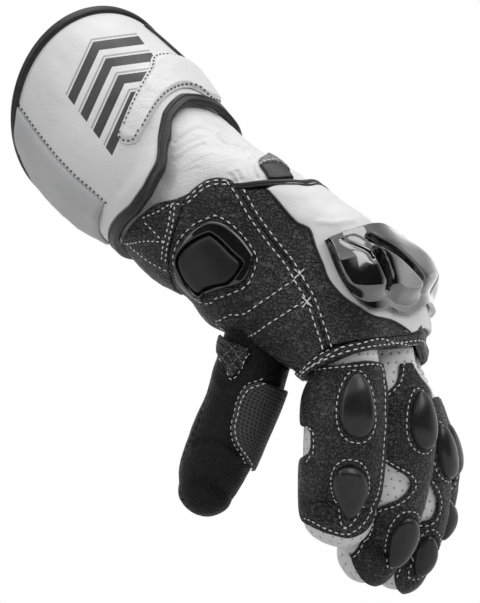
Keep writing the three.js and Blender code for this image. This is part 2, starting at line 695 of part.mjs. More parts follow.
const wristRoom = toSolid(wristWall(-LEATHER_WALL, GAP));
const handRoom = roomOf(hand, handEdges, GAP, HAND_SIDES);

const strapPlace = (s, t) => [strapStart(t, (0.5 - s) * STRAP_WIDE), t];
const strapOptions = { rows: 1, cols: HAND_SIDES, low: GAP + 0.1, high: GAP + STRAP_THICK, round: true };
add('wrist_strap', fromBody(panel(hand, strapPlace, strapOptions)), 'binding');

const hemPlace = (s, t) => [lerp(hand.end, hemTop(t, 0), s), t];
const hemOptions = { rows: 1, cols: HAND_SIDES, low: GAP, high: PANEL_TOP, round: true };
add('knuckle_hem', fromBody(panel(hand, hemPlace, hemOptions)), 'blackLeather');

// A panel between two edges on the hand, which stops short of the hem.
function handPanel(nearEdge, farEdge, options) {
  const place = (s, t) => {
    const [near, far] = [along(nearEdge, s), along(farEdge, s)];
    const v = lerp(near[1], far[1], t);
    return [Math.min(lerp(near[0], far[0], t), hemTop(v, GAP)), v];
  };
  return panel(hand, place, { low: SUNK, high: PANEL_TOP, ...options });
}

const seam = edge(hand, [
  [9.5, 9.5], [19, -3.5], [29, -17.5], [39, -32], [45, -42], [49, -53], [52.5, -64.5],
]);
const shift = (list, du, dv) => list.map(([u, v]) => [u + du, v + dv]);

const thenarNear = shift(seam, 0, -0.008);
thenarNear[0] = [2.72, 0.045];
const thenarFar = edge(hand, [
  { u: 2.5, v: -0.03 }, { u: 2.65, v: -0.14 }, { u: 3.1, v: -0.235 }, { u: 4.2, v: -0.22 },
  { u: 5.2, v: -0.17 }, { u: 6.2, v: -0.15 }, { u: 7.3, v: -0.15 },
]);
const thenarBody = handPanel(thenarNear, thenarFar, { rows: 10, cols: 4 });
add('thenar_panel', seated(thenarBody, wristRoom, handRoom, thumbHole), 'blackLeather');

const sideNear = [...shift(seam.slice(0, 6), 0, 0.008), [7.45, -0.02], [7.7, 0.08], [7.7, 0.2]];
sideNear[0] = [2.95, 0.064];
const sideFar = edge(hand, [
  [26, 4.5], [33, -2], [40, -9], [47.5, -20], [53.5, -34], [59.5, -41.5], [72.5, -50.5], [85, -55],
  { u: 7.1, v: 0.2 },
]);
const sideBody = handPanel(sideNear, sideFar, { rows: 14, cols: 2 });
add('side_panel', seated(sideBody, handRoom), 'blackLeather');

const backNear = [...shift(sideFar.slice(0, 6), 0, 0.01), [6.9, 0.06], [7.0, 0.1]];
backNear[0] = [3.45, 0.09];
const backFar = edge(hand, [
  { u: 3.9, v: 0.42 }, { u: 5.2, v: 0.42 }, { u: 6.2, v: 0.42 }, { u: 6.95, v: 0.42 },
]);
const backBody = handPanel(backNear, backFar, { rows: 9, cols: 8, high: PANEL_TOP + 0.3 });
add('back_panel', seated(backBody, handRoom), 'whiteLeather');

const tabNear = edge(hand, [
  { u: 1.95, v: -0.16 }, { u: 2.05, v: -0.105 }, { u: 2.2, v: -0.06 }, { u: 2.42, v: -0.03 },
]);
const tabFar = edge(hand, [
  { u: 2.0, v: -0.26 }, { u: 2.35, v: -0.25 }, { u: 2.58, v: -0.15 }, { u: 2.47, v: -0.04 },
]);
const tabPanel = ribbon(hand, tabNear, tabFar, { rows: 5, cols: 3 });
add('strap_end_tab', seated(tabPanel, wristRoom, handRoom), 'blackLeather');

const pullNear = edge(hand, [{ u: 2.3, v: 0.115 }, { u: 2.25, v: 0.16 }, { u: 2.3, v: 0.22 }]);
const pullFar = edge(hand, [{ u: 2.85, v: 0.115 }, { u: 2.95, v: 0.16 }, { u: 3.05, v: 0.22 }]);
const pullHigh = (s, t) => PANEL_TOP + CHANNEL_PUFF * Math.sin(Math.PI * s) * Math.sin(Math.PI * t);
const pullTab = ribbon(hand, pullNear, pullFar, { rows: 3, cols: 3, high: pullHigh });
add('wrist_tab', seated(pullTab, wristRoom), 'binding');

// Palm slider: a glossy ring round a matte plate. Their rims are seen from the front.

function rimRound(limb, middle, places) {
  const [u, v] = edge(limb, [middle])[0];
  const steps = edge(limb, places).map(([a, b]) => new THREE.Vector3(a - u, b - v, 0));
  const curve = new THREE.CatmullRomCurve3(steps, true);
  return (turn) => curve.getPoint(wrap(turn)).toArray();
}

const sliderMiddle = [-1, -25.5];
const plateRim = rimRound(hand, sliderMiddle, [
  [-2, -14], [6, -18.5], [13.5, -25.5], [11, -34], [-0.5, -36], [-6, -38], [-11, -31], [-12, -22],
]);
const ringRim = rimRound(hand, sliderMiddle, [
  [1, -9.5], [9, -12.5], [18, -24.5], [15, -35], [4, -38.5], [-8, -40], [-14, -33], [-12, -17],
]);
const [sliderU, sliderV] = edge(hand, [sliderMiddle])[0];
const plateHigh = (share) => (
  PAD_SEAT + SLIDER_PLATE_THICK * Math.sqrt(Math.max(SLIDER_SOFT_EDGE, 1 - share ** 4)));
const plateOptions = { rings: 3, sides: 16, low: () => ARMOUR_SEAT, high: plateHigh };
const plateBody = button(hand, [sliderU, sliderV], plateRim, plateOptions);
add('slider_plate', fromBody(plateBody), 'mattePlate');

const PLATE_ROOM = 1.06;
const ringPlace = (s, t) => {
  const [innerU, innerV] = plateRim(t);
  const [outerU, outerV] = ringRim(t);
  return [sliderU + lerp(innerU * PLATE_ROOM, outerU, s), sliderV + lerp(innerV * PLATE_ROOM, outerV, s)];
};
const ringHigh = (s) => PAD_SEAT + SLIDER_RING_HEIGHT + SLIDER_RING_RISE * (1 - s);
const ringOptions = { rows: 2, cols: 20, low: ARMOUR_SEAT, high: ringHigh, round: true };
add('slider_ring', fromBody(panel(hand, ringPlace, ringOptions)), 'glossArmour');

// Knuckle armour: four lobes side by side, parted by slots, over a skirt.

const LOBES = 4;
const armourTop = edge(hand, [
  [51.5, -16], [57, -13.5], { u: 5.2, v: 0.13 }, { u: 5.3, v: 0.24 }, { u: 5.7, v: 0.4 },
]);
const armourFoot = edge(hand, [
  [69, -46], [78, -50], { u: 6.85, v: 0.16 }, { u: 6.85, v: 0.27 }, { u: 6.7, v: 0.4 },
]);
function armourHigh(s, t) {
  const slot = Math.abs(Math.sin(Math.PI * LOBES * t)) ** 0.5;
  const rise = Math.sin(Math.PI * Math.min(1, 0.12 + 0.95 * s)) ** 0.7;
  const lobe = lerp(KNUCKLE_SLOT_SHARE, 1, slot);
  return PAD_SEAT + KNUCKLE_SKIRT_HEIGHT + KNUCKLE_LOBE_HEIGHT * rise * lobe;
}
const armourPlace = (s, t) => {
  const [top, foot] = [along(armourTop, t), along(armourFoot, t)];
  return [lerp(top[0], foot[0], s), lerp(top[1], foot[1], s)];
};
const armourOptions = { rows: 7, cols: 16, low: ARMOUR_SEAT, high: armourHigh };
add('knuckle_armour', fromBody(panel(hand, armourPlace, armourOptions)), 'glossArmour');

// Fingers and thumb

const fingerShares = [0, 0.16, 0.32, 0.48, 0.63, 0.76, 0.86, 0.94];
const edgesTo = (limb) => fingerShares.map((share) => () => lerp(0.05, limb.reach, share));
const fingerHalves = { upper: [-0.25, 0.25], lower: [0.75, 0.25] };
const NEAR_TIP = 0.995;

// The black back of a finger: its left and right edge at rows of the finger. The index finger's
// is whole, and the others have a notch between their two pads.
const wholeBack = [
  { u: 1.1, left: -0.2, right: 0.19 },
  { u: 1.7, left: -0.26, right: 0.19 },
  { u: 2.3, left: -0.27, right: 0.19 },
  { u: 3.4, left: -0.27, right: 0.18 },
  { u: 4.4, left: -0.27, right: 0.18 },
  { u: 5.1, left: -0.27, right: 0.17 },
  { u: 5.7, left: -0.27, right: 0.15 },
  { u: 6.1, left: -0.26, right: 0.13 },
  { u: 6.5, left: -0.2, right: 0.08 },
];
const notchedBack = [
  { u: 1.2, left: -0.04, right: 0.18 },
  { u: 1.8, left: -0.1, right: 0.18 },
  { u: 2.3, left: -0.17, right: 0.18 },
  { u: 3.4, left: -0.18, right: 0.18 },
  { u: 3.75, left: -0.08, right: 0.18 },
  { u: 4.15, left: -0.03, right: 0.18 },
  { u: 4.6, left: -0.06, right: 0.18 },
  { u: 4.95, left: -0.17, right: 0.18 },
  { u: 5.9, left: -0.17, right: 0.18 },
  { u: 6.4, left: -0.14, right: 0.14 },
];
const littleBack = notchedBack.map(({ u, left, right }) => ({ u: u * 0.78 + 0.5, left, right }));

// Pads: the place of both ends on the skin, as seen from the front, and the pad's width.
const fingerParts = {
  index: {
    back: wholeBack,
    gripEdge: 0.69,
    pads: {
      knuckle_pad: { top: [65.7, -76.5], low: [66, -103], wide: 16.6 },
      tip_pad: { top: [61.6, -114.6], low: [61.4, -140.2], wide: 17 },
    },
  },
  middle: {
    back: notchedBack,
    gripEdge: 0.64,
    pads: {
      knuckle_pad: { top: [92.4, -84.4], low: [94.6, -109.4], wide: 14.8 },
      tip_pad: { top: [91, -140], low: [80, -160.5], wide: 14 },
    },
  },
  ring: {
    back: notchedBack,
    gripEdge: 0.64,
    pads: {
      knuckle_pad: { top: [101.4, -99.4], low: [105.6, -123], wide: 13.8 },
      tip_pad: { top: [100.4, -148], low: [91, -166], wide: 13.2 },
    },
  },
  little: {
    back: littleBack,
    gripEdge: 0.64,
    pads: {
      knuckle_pad: { top: [104, -99], low: [107.6, -121.5], wide: 12 },
      tip_pad: { top: [105.6, -133], low: [102.4, -151], wide: 11.6 },
    },
  },
};

// A pad's drop-shaped rim between its ends, pointed at one: -1 at its top, 1 at its low end.
function dropOutline(limb, top, low, wide, pointedEnd) {
  return (turn) => {
    const [c, s] = [Math.cos(2 * Math.PI * turn), Math.sin(2 * Math.PI * turn)];
    const [u, v] = [lerp(top[0], low[0], (1 + c) / 2), lerp(top[1], low[1], (1 + c) / 2)];
    const perTurn = limb.point(u, v + TURN_STEP).distanceTo(limb.point(u, v - TURN_STEP)) / (2 * TURN_STEP);
    const narrow = 1 - PAD_TAPER * pointedEnd * c;
    const middle = lerp(top[1], low[1], 0.5);
    return [u - lerp(top[0], low[0], 0.5), v - middle + (wide * s * narrow) / 2 / perTurn];
  };
}

// A panel on a finger, with a row of corners at each row of its table.
function fingerPanel(limb, table, cols, low, high) {
  const place = (s, t) => {
    const { u, left, right } = table[Math.round(s * (table.length - 1))];
    return [u, lerp(left, right, t)];
  };
  return panel(limb, place, { rows: table.length - 1, cols, low, high });
}

// A finger's pocket is sewn from two halves, which meet at its sides and at its tip.
function addHalves(name, limb, finish) {
  const options = { cols: FINGER_SIDES / 2, low: -LEATHER_WALL, high: 0 };
  for (const [half, span] of Object.entries(fingerHalves)) {
    const body = wallBetween(limb, [...edgesTo(limb), () => limb.reach * NEAR_TIP], span, options);
    add(`${name}_${half}_half`, fromBody(body), finish);
  }
}

function addFinger(name, limb, { back, gripEdge, pads }) {
  const edges = edgesTo(limb);
  addHalves(name, limb, 'whiteLeather');
  const backPanel = (high) => fingerPanel(limb, back, BACK_COLUMNS, FINGER_SEAT, high);
  add(`${name}_back`, fromBody(backPanel(FINGER_TOP)), 'blackLeather');
  const backRoom = toSolid(backPanel(FINGER_TOP + GAP));
  const grip = edges.slice(2, 7).map((uOf) => ({ u: uOf(), left: GRIP_NEAR, right: gripEdge }));
  add(`${name}_grip`, fromBody(fingerPanel(limb, grip, 4, FINGER_SEAT, FINGER_TOP)), 'blackLeather');
  for (const [pad, { top, low, wide }] of Object.entries(pads)) {
    const ends = edge(limb, [top, low]);
    const outline = dropOutline(limb, ...ends, wide, pad === 'knuckle_pad' ? -1 : 1);
    const seat = FINGER_TOP + PAD_GAP;
    const dome = (share) => Math.sqrt(Math.max(PAD_SOFT_EDGE, 1 - share ** 2.6));
    const high = (share) => seat + FINGER_PAD_RISE * wide * dome(share);
    const padOptions = { rings: 3, sides: 12, low: () => seat, high };
    const padBody = button(limb, along(ends, 0.5), outline, padOptions);
    add(`${name}_${pad}`, seated(padBody, backRoom), 'padArmour');
  }
}
for (const [name, limb] of Object.entries(fingers)) addFinger(name, limb, fingerParts[name]);

addHalves('thumb', thumb, 'blackLeather');
const thumbGripNear = edge(thumb, [[22, -79], [11.5, -94], [10, -100], [16, -116]]);
const thumbGripFar = edge(thumb, [
  { u: 1.1, v: 0.32 }, { u: 2.2, v: 0.34 }, { u: 3, v: 0.34 }, { u: 4.1, v: 0.34 },
]);
const thumbGrip = { rows: 6, cols: 5, low: FINGER_SEAT, high: FINGER_TOP };
add('thumb_grip', fromBody(ribbon(thumb, thumbGripNear, thumbGripFar, thumbGrip)), 'blackLeather');

const gussetNear = edge(thumb, [[4, -59], [6.5, -68], [9.6, -77.4]]);
const gussetFar = edge(thumb, [[19, -64], [15, -71], [10.4, -77.8]]);
const gussetOptions = { rows: 5, cols: 4, low: FINGER_SEAT, high: FINGER_TOP };
const gussetBody = ribbon(thumb, gussetNear, gussetFar, gussetOptions);
add('thumb_gusset', seated(gussetBody, handRoom, toSolid(thenarBody)), 'blackLeather');

export default glove;
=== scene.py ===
# %% [markdown]
# # A racing glove, held in the shape of the hand that wears it
# The solids of the glove come from the frame. Each one that is soft, or that has fine relief,
# gets a dressed piece here with the same place. Lengths in this lesson are millimetres until
# a mesh is made, because a glove's seams and pads are easiest to think of in millimetres.

# %% Load the frame
import bpy
import numpy as np
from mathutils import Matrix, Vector
from mathutils.bvhtree import BVHTree


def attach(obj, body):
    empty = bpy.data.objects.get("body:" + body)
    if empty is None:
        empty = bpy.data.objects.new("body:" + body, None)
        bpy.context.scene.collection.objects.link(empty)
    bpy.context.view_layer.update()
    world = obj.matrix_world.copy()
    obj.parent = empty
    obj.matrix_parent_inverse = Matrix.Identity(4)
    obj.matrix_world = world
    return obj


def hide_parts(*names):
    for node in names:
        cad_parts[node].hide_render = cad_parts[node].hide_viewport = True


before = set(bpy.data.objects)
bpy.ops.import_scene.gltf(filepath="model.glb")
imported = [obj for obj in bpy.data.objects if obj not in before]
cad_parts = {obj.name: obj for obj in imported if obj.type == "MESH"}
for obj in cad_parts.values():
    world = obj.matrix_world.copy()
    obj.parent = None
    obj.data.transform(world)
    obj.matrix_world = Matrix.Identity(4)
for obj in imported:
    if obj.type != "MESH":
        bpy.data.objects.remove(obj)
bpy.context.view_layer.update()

# %% [markdown]
# ## Limbs
# Leather has no shape of its own here: it follows the arm, the hand and the fingers in it. So
# each of those is a lofted skin, a limb, with a table of sections. A place on a limb is
# (u, v, h): u counts the sections, v is the turn round it, h is the height over the skin.
# Everything that is sewn on is drawn on a limb with these three numbers.

# %% Tables of the limbs' sections
CUFF = dict(rows=[
    # x, y, z, tilt, rake, skew, wide, deep, turn
    (-54, 36, 46, 58, 52, -9, 43.6, 45.5, 0),
    (-36.5, 22, 29, 55, 40, 0, 43.8, 40, 0),
    (-24, 14, 17, 50, 32, 0, 40.4, 37, 0),
    (-17, 10, 10.4, 46.5, 29, 0, 38.9, 36, 0),
    (-5, 2.5, 0.5, 48, 28, 0, 40.2, 38.5, 0)])
HAND = dict(rows=[
    # x, y, z, tilt, rake, skew, then four discs (thumb's ball, index, middle, little side)
    (-36, 24, 29, 49, 29, 0, -6, 0, 24, 5, -4, 24, 6, 1, 24, 5, 4, 24),
    (-17, 11, 11, 49, 29, 0, -9, -1, 25.5, 8, -5, 25, 9, 0, 26, 8, 4, 25),
    (0.5, 1, -3.5, 50, 28, 0, -11, -3, 26, 9, -8, 26, 11, 0, 25, 9, 8, 26),
    (21, 0, -17.5, 45, 26, 0, -13, -11, 24, 14, -16, 22, 16, 2, 21, 13, 19, 21),
    (35, 0, -32, 40, 24, 0, -17, -16, 22, 20, -21, 19, 21, 4, 18.5, 17, 27, 17),
    (48.6, 0, -40, 40, 22, 0, -16, -21, 20, 18, -24, 19, 20.5, 4, 18, 16.5, 31, 16.5),
    (59, 0, -51, 39, 20, 0, -18, -26, 18, 12, -27, 18.5, 19.5, 2, 19, 18.5, 34, 17),
    (65, 0, -63, 32, 15, 0, -14, -30, 17.5, 2, -31, 17.5, 17, -2, 18, 16, 38.5, 17),
    (68.5, 0, -74, 20, 9, 0, -9, -35, 17.5, -8, -35, 18, 11, -8, 17, 11.5, 42.5, 16)])
INDEX = dict(square=2.4, tip=13, rows=[
    (60, -35, -64, 0, 0, 0, 14.4, 14, 15), (61, -34.6, -74, 0, 0, 0, 14.6, 14.2, 15),
    (60.3, -36, -86, 0, 0, 0, 17.3, 15.3, 15), (60, -36.5, -102, -1, 4, 0, 17.5, 15.5, 15),
    (59.3, -34, -118, -2, 10, 0, 17.3, 15, 15), (58.7, -29, -130, -3, 22, 0, 17, 14.5, 15),
    (57.5, -22, -140, -5, 35, 0, 15.6, 13.5, 15)])
MIDDLE = dict(square=2.3, tip=11.5, rows=[
    (77.8, -8.5, -64, 4, 0, 0, 12.4, 13, 42), (79, -9.5, -74, 4, 0, 0, 13, 13.4, 42),
    (82.3, -12, -86, 3, 0, 0, 14.4, 14.4, 42), (84, -13, -106, -2, 5, 0, 14.4, 14.5, 42),
    (81.5, -11, -126, -9, 15, 0, 14.4, 14, 42), (76, -5, -144, -20, 25, 0, 14, 13.6, 42),
    (70, 3, -158, -27, 33, 0, 12.8, 12.5, 42)])
RING = dict(square=2.3, tip=10.5, rows=[
    (79, 15.7, -65, 16, 0, 0, 10.6, 10.8, 57), (81.5, 16.2, -75, 18, 0, 0, 11.4, 11.6, 57),
    (88, 18.5, -90, 14, 0, 0, 12.6, 13.2, 57), (92.5, 19.5, -112, 0, 3, 0, 13, 14, 57),
    (92.3, 23, -133, -8, 12, 0, 13, 13.5, 57), (89, 29.5, -150, -17, 25, 0, 12.8, 13, 57),
    (84.5, 37, -163, -22, 33, 0, 11.8, 11.5, 57)])
LITTLE = dict(square=2.3, tip=11, rows=[
    (82, 37, -66, 18, 0, 0, 9.2, 9.4, 72), (86, 39.6, -76, 24, 0, 0, 9.7, 9.9, 72),
    (90, 46, -91, 20, 0, 0, 12, 12.4, 72), (97, 50.5, -110, 6, 5, 0, 12.4, 12.6, 72),
    (98.5, 54.5, -126, -5, 12, 0, 12.2, 12, 72), (96.5, 59.5, -140, -10, 20, 0, 11.2, 11, 72)])
THUMB = dict(square=2.2, tip=11, rows=[
    (24, -14, -56, -10, 0, 0, 16.4, 14.4, -20), (18, -15, -76, -18, 0, 0, 16.5, 15, -20),
    (13.3, -15, -90, -21, 0, 0, 15.8, 15, -20), (8.5, -14, -101, -22, 4, 0, 15.8, 15, -20),
    (4, -12, -112, -22, 8, 0, 15.6, 14.5, -20), (0, -9, -122, -20, 12, 0, 14.4, 13.5, -20),
    (-2, -6, -129, -18, 15, 0, 12.4, 11.5, -20)])

print("sections of the hand:", len(HAND["rows"]), "and of the cuff:", len(CUFF["rows"]))

# %% [markdown]
# ## A curve and a skin round discs
# The palm isn't an ellipse. Its section is the skin round four discs: the thumb's ball and the
# knuckles of three fingers. A polygon could trace it too, but discs keep it smooth while they
# move, and each disc is a part of a hand that one can point at.

# %% Curves and the skin round discs
PER_ROW = 14         # steps of the skin's grid from one section to the next
AROUND = 72          # directions in which a section of discs is measured
FINE = 3             # columns of the skin's grid for each of those directions
DISCS_BETWEEN = 6    # steps from one disc to the next
DISC_EASINGS = 2     # passes that soften the creases between the discs
PALM_HOLLOW = 7.0    # least distance of the palm's skin from its middle


def curve_through(values, at):
    """A smooth curve through the rows of values, at the given row numbers."""
    values = np.asarray(values, float)
    at = np.asarray(at, float)
    last = len(values) - 1
    i = np.clip(np.floor(at).astype(int), 0, last - 1)
    t = (at - i)[..., None]
    b, c = values[i], values[i + 1]
    a = np.where((i > 0)[..., None], values[np.maximum(i - 1, 0)], 2 * b - c)
    d = np.where((i + 2 <= last)[..., None], values[np.minimum(i + 2, last)], 2 * c - b)
    return 0.5 * (2 * b + (c - a) * t + (2 * a - 5 * b + 4 * c - d) * t**2
                  + (3 * b - a - 3 * c + d) * t**3)


def skin_radii(discs):
    """How far the skin round a row of discs lies from the middle, in each direction."""
    angle = np.arange(AROUND) * 2 * np.pi / AROUND
    dir_p, dir_q = np.sin(angle), -np.cos(angle)
    radii = np.full(AROUND, PALM_HOLLOW)
    for first, second in zip(discs[:-1], discs[1:]):
        for share in np.linspace(0, 1, DISCS_BETWEEN + 1):
            p, q, r = first * (1 - share) + second * share
            along = dir_p * p + dir_q * q
            inside = r * r - (p * p + q * q - along * along)
            reach = along + np.sqrt(np.maximum(inside, 0))
            radii = np.where(inside > 0, np.maximum(radii, reach), radii)
    for _ in range(DISC_EASINGS):
        radii = 0.5 * radii + 0.25 * (np.roll(radii, 1) + np.roll(radii, -1))
    fine = np.arange(AROUND * FINE) / FINE
    ring = np.concatenate([radii[-2:], radii, radii[:3]])[:, None]
    return curve_through(ring, fine + 2)[:, 0]


print("radii round one disc:", np.unique(skin_radii(np.array([[0, 0, 20.0]] * 2)).round(2)))

# %% [markdown]
# ## A limb
# A limb keeps its skin as a grid of points with their normals, so that any place on it is
# found by mixing four of them. That is quicker than a surface of Blender's own, and the same
# grid answers the other question too: which place shows at a point of the front view.

# %% The limb class
FACES_AWAY = 0.05    # a normal's share along the line of sight, past which skin is hidden


class Limb:
    """A lofted skin; square 2 is an ellipse, more is boxier; tip is a round end's length."""

    def __init__(self, rows, square=2.0, tip=0.0):
        self.rows, self.square, self.tip = np.array(rows, float), square, tip
        self.end = len(rows) - 1
        self.reach = self.end + (1 if tip else 0)
        steps = self.reach * PER_ROW
        self.grid = np.array([self.ring(k / PER_ROW) for k in range(steps + 1)])
        before = self.grid[np.maximum(np.arange(steps + 1) - 1, 0)]
        after = self.grid[np.minimum(np.arange(steps + 1) + 1, steps)]
        round_it = np.roll(self.grid, -1, axis=1) - np.roll(self.grid, 1, axis=1)
        normal = np.cross(after - before, round_it)
        normal /= np.maximum(np.linalg.norm(normal, axis=2, keepdims=True), 1e-9)
        if tip:
            outward = self.grid[-1, 0] - self.grid[-2].mean(axis=0)
            normal[-1] = outward / np.linalg.norm(outward)
        self.normal = normal

    def ring(self, u):
        """The section's points at u; past the last row it shrinks into the tip."""
        numbers = curve_through(self.rows, np.array(min(u, self.end)))
        tilt, rake, skew = np.radians(numbers[3:6])
        line = np.array([np.cos(tilt), 0, np.sin(tilt)])
        lean = np.array([np.sin(tilt + skew), 0, -np.cos(tilt + skew)])
        depth = np.array([0, np.cos(rake), 0]) + lean * np.sin(rake)
        cap = max(0, u - self.end) * np.pi / 2
        onward = np.cross(depth, line) * self.tip * np.sin(cap)
        angle = np.arange(AROUND * FINE) * 2 * np.pi / (AROUND * FINE)
        p, q = np.sin(angle), -np.cos(angle)
        if len(numbers) > 9:
            radii = skin_radii(numbers[6:].reshape(4, 3))
            p, q = p * radii, q * radii
        else:
            wide, deep, turn = numbers[6], numbers[7], np.radians(numbers[8])
            power = 2 / self.square
            a, b = wide * np.sign(p) * abs(p)**power, deep * np.sign(q) * abs(q)**power
            p, q = a * np.cos(turn) - b * np.sin(turn), a * np.sin(turn) + b * np.cos(turn)
        shrink = np.cos(cap)
        return numbers[:3] + onward + shrink * (p[:, None] * line + q[:, None] * depth)

    def sample(self, field, u, v):
        """A field of the grid at places between its points."""
        row = np.clip(u, 0, self.reach) * PER_ROW
        i = np.clip(np.floor(row).astype(int), 0, len(self.grid) - 2)
        column = (v - np.floor(v)) * AROUND * FINE
        k = np.floor(column).astype(int) % (AROUND * FINE)
        n = (k + 1) % (AROUND * FINE)
        f, g = (row - i)[..., None], (column - np.floor(column))[..., None]
        near = field[i, k] * (1 - g) + field[i, n] * g
        far = field[i + 1, k] * (1 - g) + field[i + 1, n] * g
        return near * (1 - f) + far * f

    def point(self, u, v, h=0.0):
        u, v = np.broadcast_arrays(np.asarray(u, float), np.asarray(v, float))
        normal = self.sample(self.normal, u, v)
        normal = normal / np.maximum(np.linalg.norm(normal, axis=-1, keepdims=True), 1e-9)
        return self.sample(self.grid, u, v) + normal * np.asarray(h, float)[..., None]

    def trace(self, x, z):
        """The place on the viewer's side of the limb that shows at x, z from the front."""
        g = self.grid
        a, b, c = g[:-1], np.roll(g, -1, axis=1)[:-1], g[1:]
        ab, ac = (b - a)[..., [0, 2]], (c - a)[..., [0, 2]]
        away = np.array([x, z]) - a[..., [0, 2]]
        area = ab[..., 0] * ac[..., 1] - ab[..., 1] * ac[..., 0]
        area = np.where(abs(area) < 1e-7, 1e-7, area)
        across = (away[..., 0] * ac[..., 1] - away[..., 1] * ac[..., 0]) / area
        along = (ab[..., 0] * away[..., 1] - ab[..., 1] * away[..., 0]) / area
        kept_a, kept_b = np.clip(across, 0, 1), np.clip(along, 0, 1)
        miss = np.hypot((across - kept_a) * np.linalg.norm(ab, axis=-1),
                        (along - kept_b) * np.linalg.norm(ac, axis=-1))
        miss = np.where(self.normal[:-1, :, 1] > FACES_AWAY, np.inf, miss)
        i, k = np.unravel_index(np.argmin(miss), miss.shape)
        v = (k + kept_a[i, k]) / (AROUND * FINE)
        return (i + kept_b[i, k]) / PER_ROW, v - 1 if v > 0.5 else v


cuff, hand = Limb(**CUFF), Limb(**HAND)
index, middle = Limb(**INDEX), Limb(**MIDDLE)
ring, little, thumb = Limb(**RING), Limb(**LITTLE), Limb(**THUMB)
print("the hand's skin has", hand.grid.shape[0] * hand.grid.shape[1], "places")

# %% [markdown]
# ## Places seen from the front
# The front view of the glove is 480 by 603 units, 0.45 mm each, and the origin is at
# (210, 205). A seam is a short list of such places. `on` finds where they lie on a limb. A
# place that the limb hides is written as (u, v) instead, in `at`.

# %% Reading a seam's places
UNIT = 0.45
VIEW_WIDE, VIEW_TALL = 480, 603
ORIGIN_PX = (210, 205)
AIM_TRIES, AIM_SHARE = 8, 0.8
DENSE = 24           # steps between two places of a line, before it is spaced evenly


def from_front(px, py):
    """x and z in millimetres of a place in the front view."""
    return np.array([(px - ORIGIN_PX[0]) * UNIT, (ORIGIN_PX[1] - py) * UNIT])


def on(limb, *places):
    """Where the places in the front view lie on a limb."""
    return np.array([limb.trace(*from_front(*place)) for place in places])


def lifted(limb, high, *places):
    """Places on the skin whose points at the height high show at the given places."""
    found = []
    for place in places:
        aim = wanted = from_front(*place)
        for _ in range(AIM_TRIES):
            u, v = limb.trace(*aim)
            aim = aim + AIM_SHARE * (wanted - limb.point(u, v, high)[[0, 2]])
        found.append(limb.trace(*aim))
    return np.array(found)


def at(*places):
    return np.array(places, float)


def joined(*lists):
    return np.concatenate(lists)


def evenly(limb, places, count=None, step=None):
    """A smooth line through places, with even steps along the skin."""
    count_fine = DENSE * len(places)
    dense = curve_through(places, np.linspace(0, len(places) - 1, count_fine))
    points = limb.point(dense[:, 0], dense[:, 1])
    gone = np.concatenate([[0], np.cumsum(np.linalg.norm(np.diff(points, axis=0), axis=1))])
    if count is None:
        count = max(2, int(round(gone[-1] / step)) + 1)
    wanted = np.linspace(0, gone[-1], count)
    return np.stack([np.interp(wanted, gone, dense[:, c]) for c in range(2)], axis=1)


print("the index finger's tip is at", index.point(*on(index, (344, 531))[0]).round(1))

# %% [markdown]
# ## Noise for folds
# Leather never lies quite flat. Blender's own noise takes one point at a time. This plain
# value noise takes a whole grid, and its fixed seeds give the same lumps in each run.

# %% Value noise
HASH = np.array([73856093, 19349663, 83492791])


def noise(points, size, seed=0, octaves=2):
    """Smooth noise round 0 at each point; size is the width of a lump."""
    total, weight = 0.0, 1.0
    for octave in range(octaves):
        p = np.asarray(points, float) / size * 2**octave + 37.7 * (seed + octave)
        cell = np.floor(p).astype(np.int64)
        f = p - cell
        f = f * f * (3 - 2 * f)
        value = 0.0
        for corner in np.ndindex(2, 2, 2):
            key = (cell + corner) @ HASH
            key = (key ^ (key >> 13)) * 1274126177 & 0x7FFFFFFF
            part = np.prod(np.where(corner, f, 1 - f), axis=-1)
            value = value + part * (((key >> 7) & 0xFFFF) / 32767.5 - 1)
        total = total + value * weight
        weight *= 0.5
    return total


print("noise at two places:", noise(np.array([[0, 0, 0], [5, 5, 5]]), 7).round(3))

# %% [markdown]
# ## From faces to a piece
# Each dressed piece is a closed mesh of its own with a name, a material and a place in the frame,
# and it hides the part of the frame that it stands for, if any. One helper does all of that, so
# that no piece misses a step.
# It also keeps the piece's surface for the rays that later put stitches on it.

# %% A piece from faces
made, surfaces, outside = {}, {}, {}


def keep(name, corners, quads, material, node=None, uv=None, others=()):
    """A piece from quads and other faces; corners that no face uses are left out."""
    mesh = bpy.data.meshes.new(name)
    used = np.unique([i for face in (*quads, *others) for i in face])
    number = np.zeros(len(corners), int)
    number[used] = np.arange(len(used))
    faces = number[np.asarray(quads)].tolist() + [number[list(face)].tolist() for face in others]
    corners = np.asarray(corners)[used]
    mesh.from_pydata((corners * 0.001).tolist(), [], faces)
    if uv is not None:
        layer = mesh.uv_layers.new(name="skin")
        loops = np.empty(len(mesh.loops), np.int32)
        mesh.loops.foreach_get("vertex_index", loops)
        layer.data.foreach_set("uv", np.asarray(uv, float)[used][loops].ravel())
    mesh.shade_smooth()
    mesh.validate()
    piece = bpy.data.objects.new(name, mesh)
    bpy.context.scene.collection.objects.link(piece)
    mesh.materials.append(material)
    face_out(mesh)
    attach(piece, "root")
    if node:
        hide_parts(node)
    made[name] = len(mesh.polygons)
    surfaces[name] = BVHTree.FromPolygons(corners.tolist(), faces)
    return piece


def face_out(mesh):
    """Turn all faces round if the closed mesh is inside out."""
    mesh.calc_loop_triangles()
    co = np.empty(len(mesh.vertices) * 3)
    mesh.vertices.foreach_get("co", co)
    co = co.reshape(-1, 3)
    tri = np.empty(len(mesh.loop_triangles) * 3, np.int32)
    mesh.loop_triangles.foreach_get("vertices", tri)
    a, b, c = co[tri.reshape(-1, 3)].transpose(1, 0, 2)
    if np.einsum("ij,ij->i", a, np.cross(b, c)).sum() < 0:
        mesh.flip_normals()


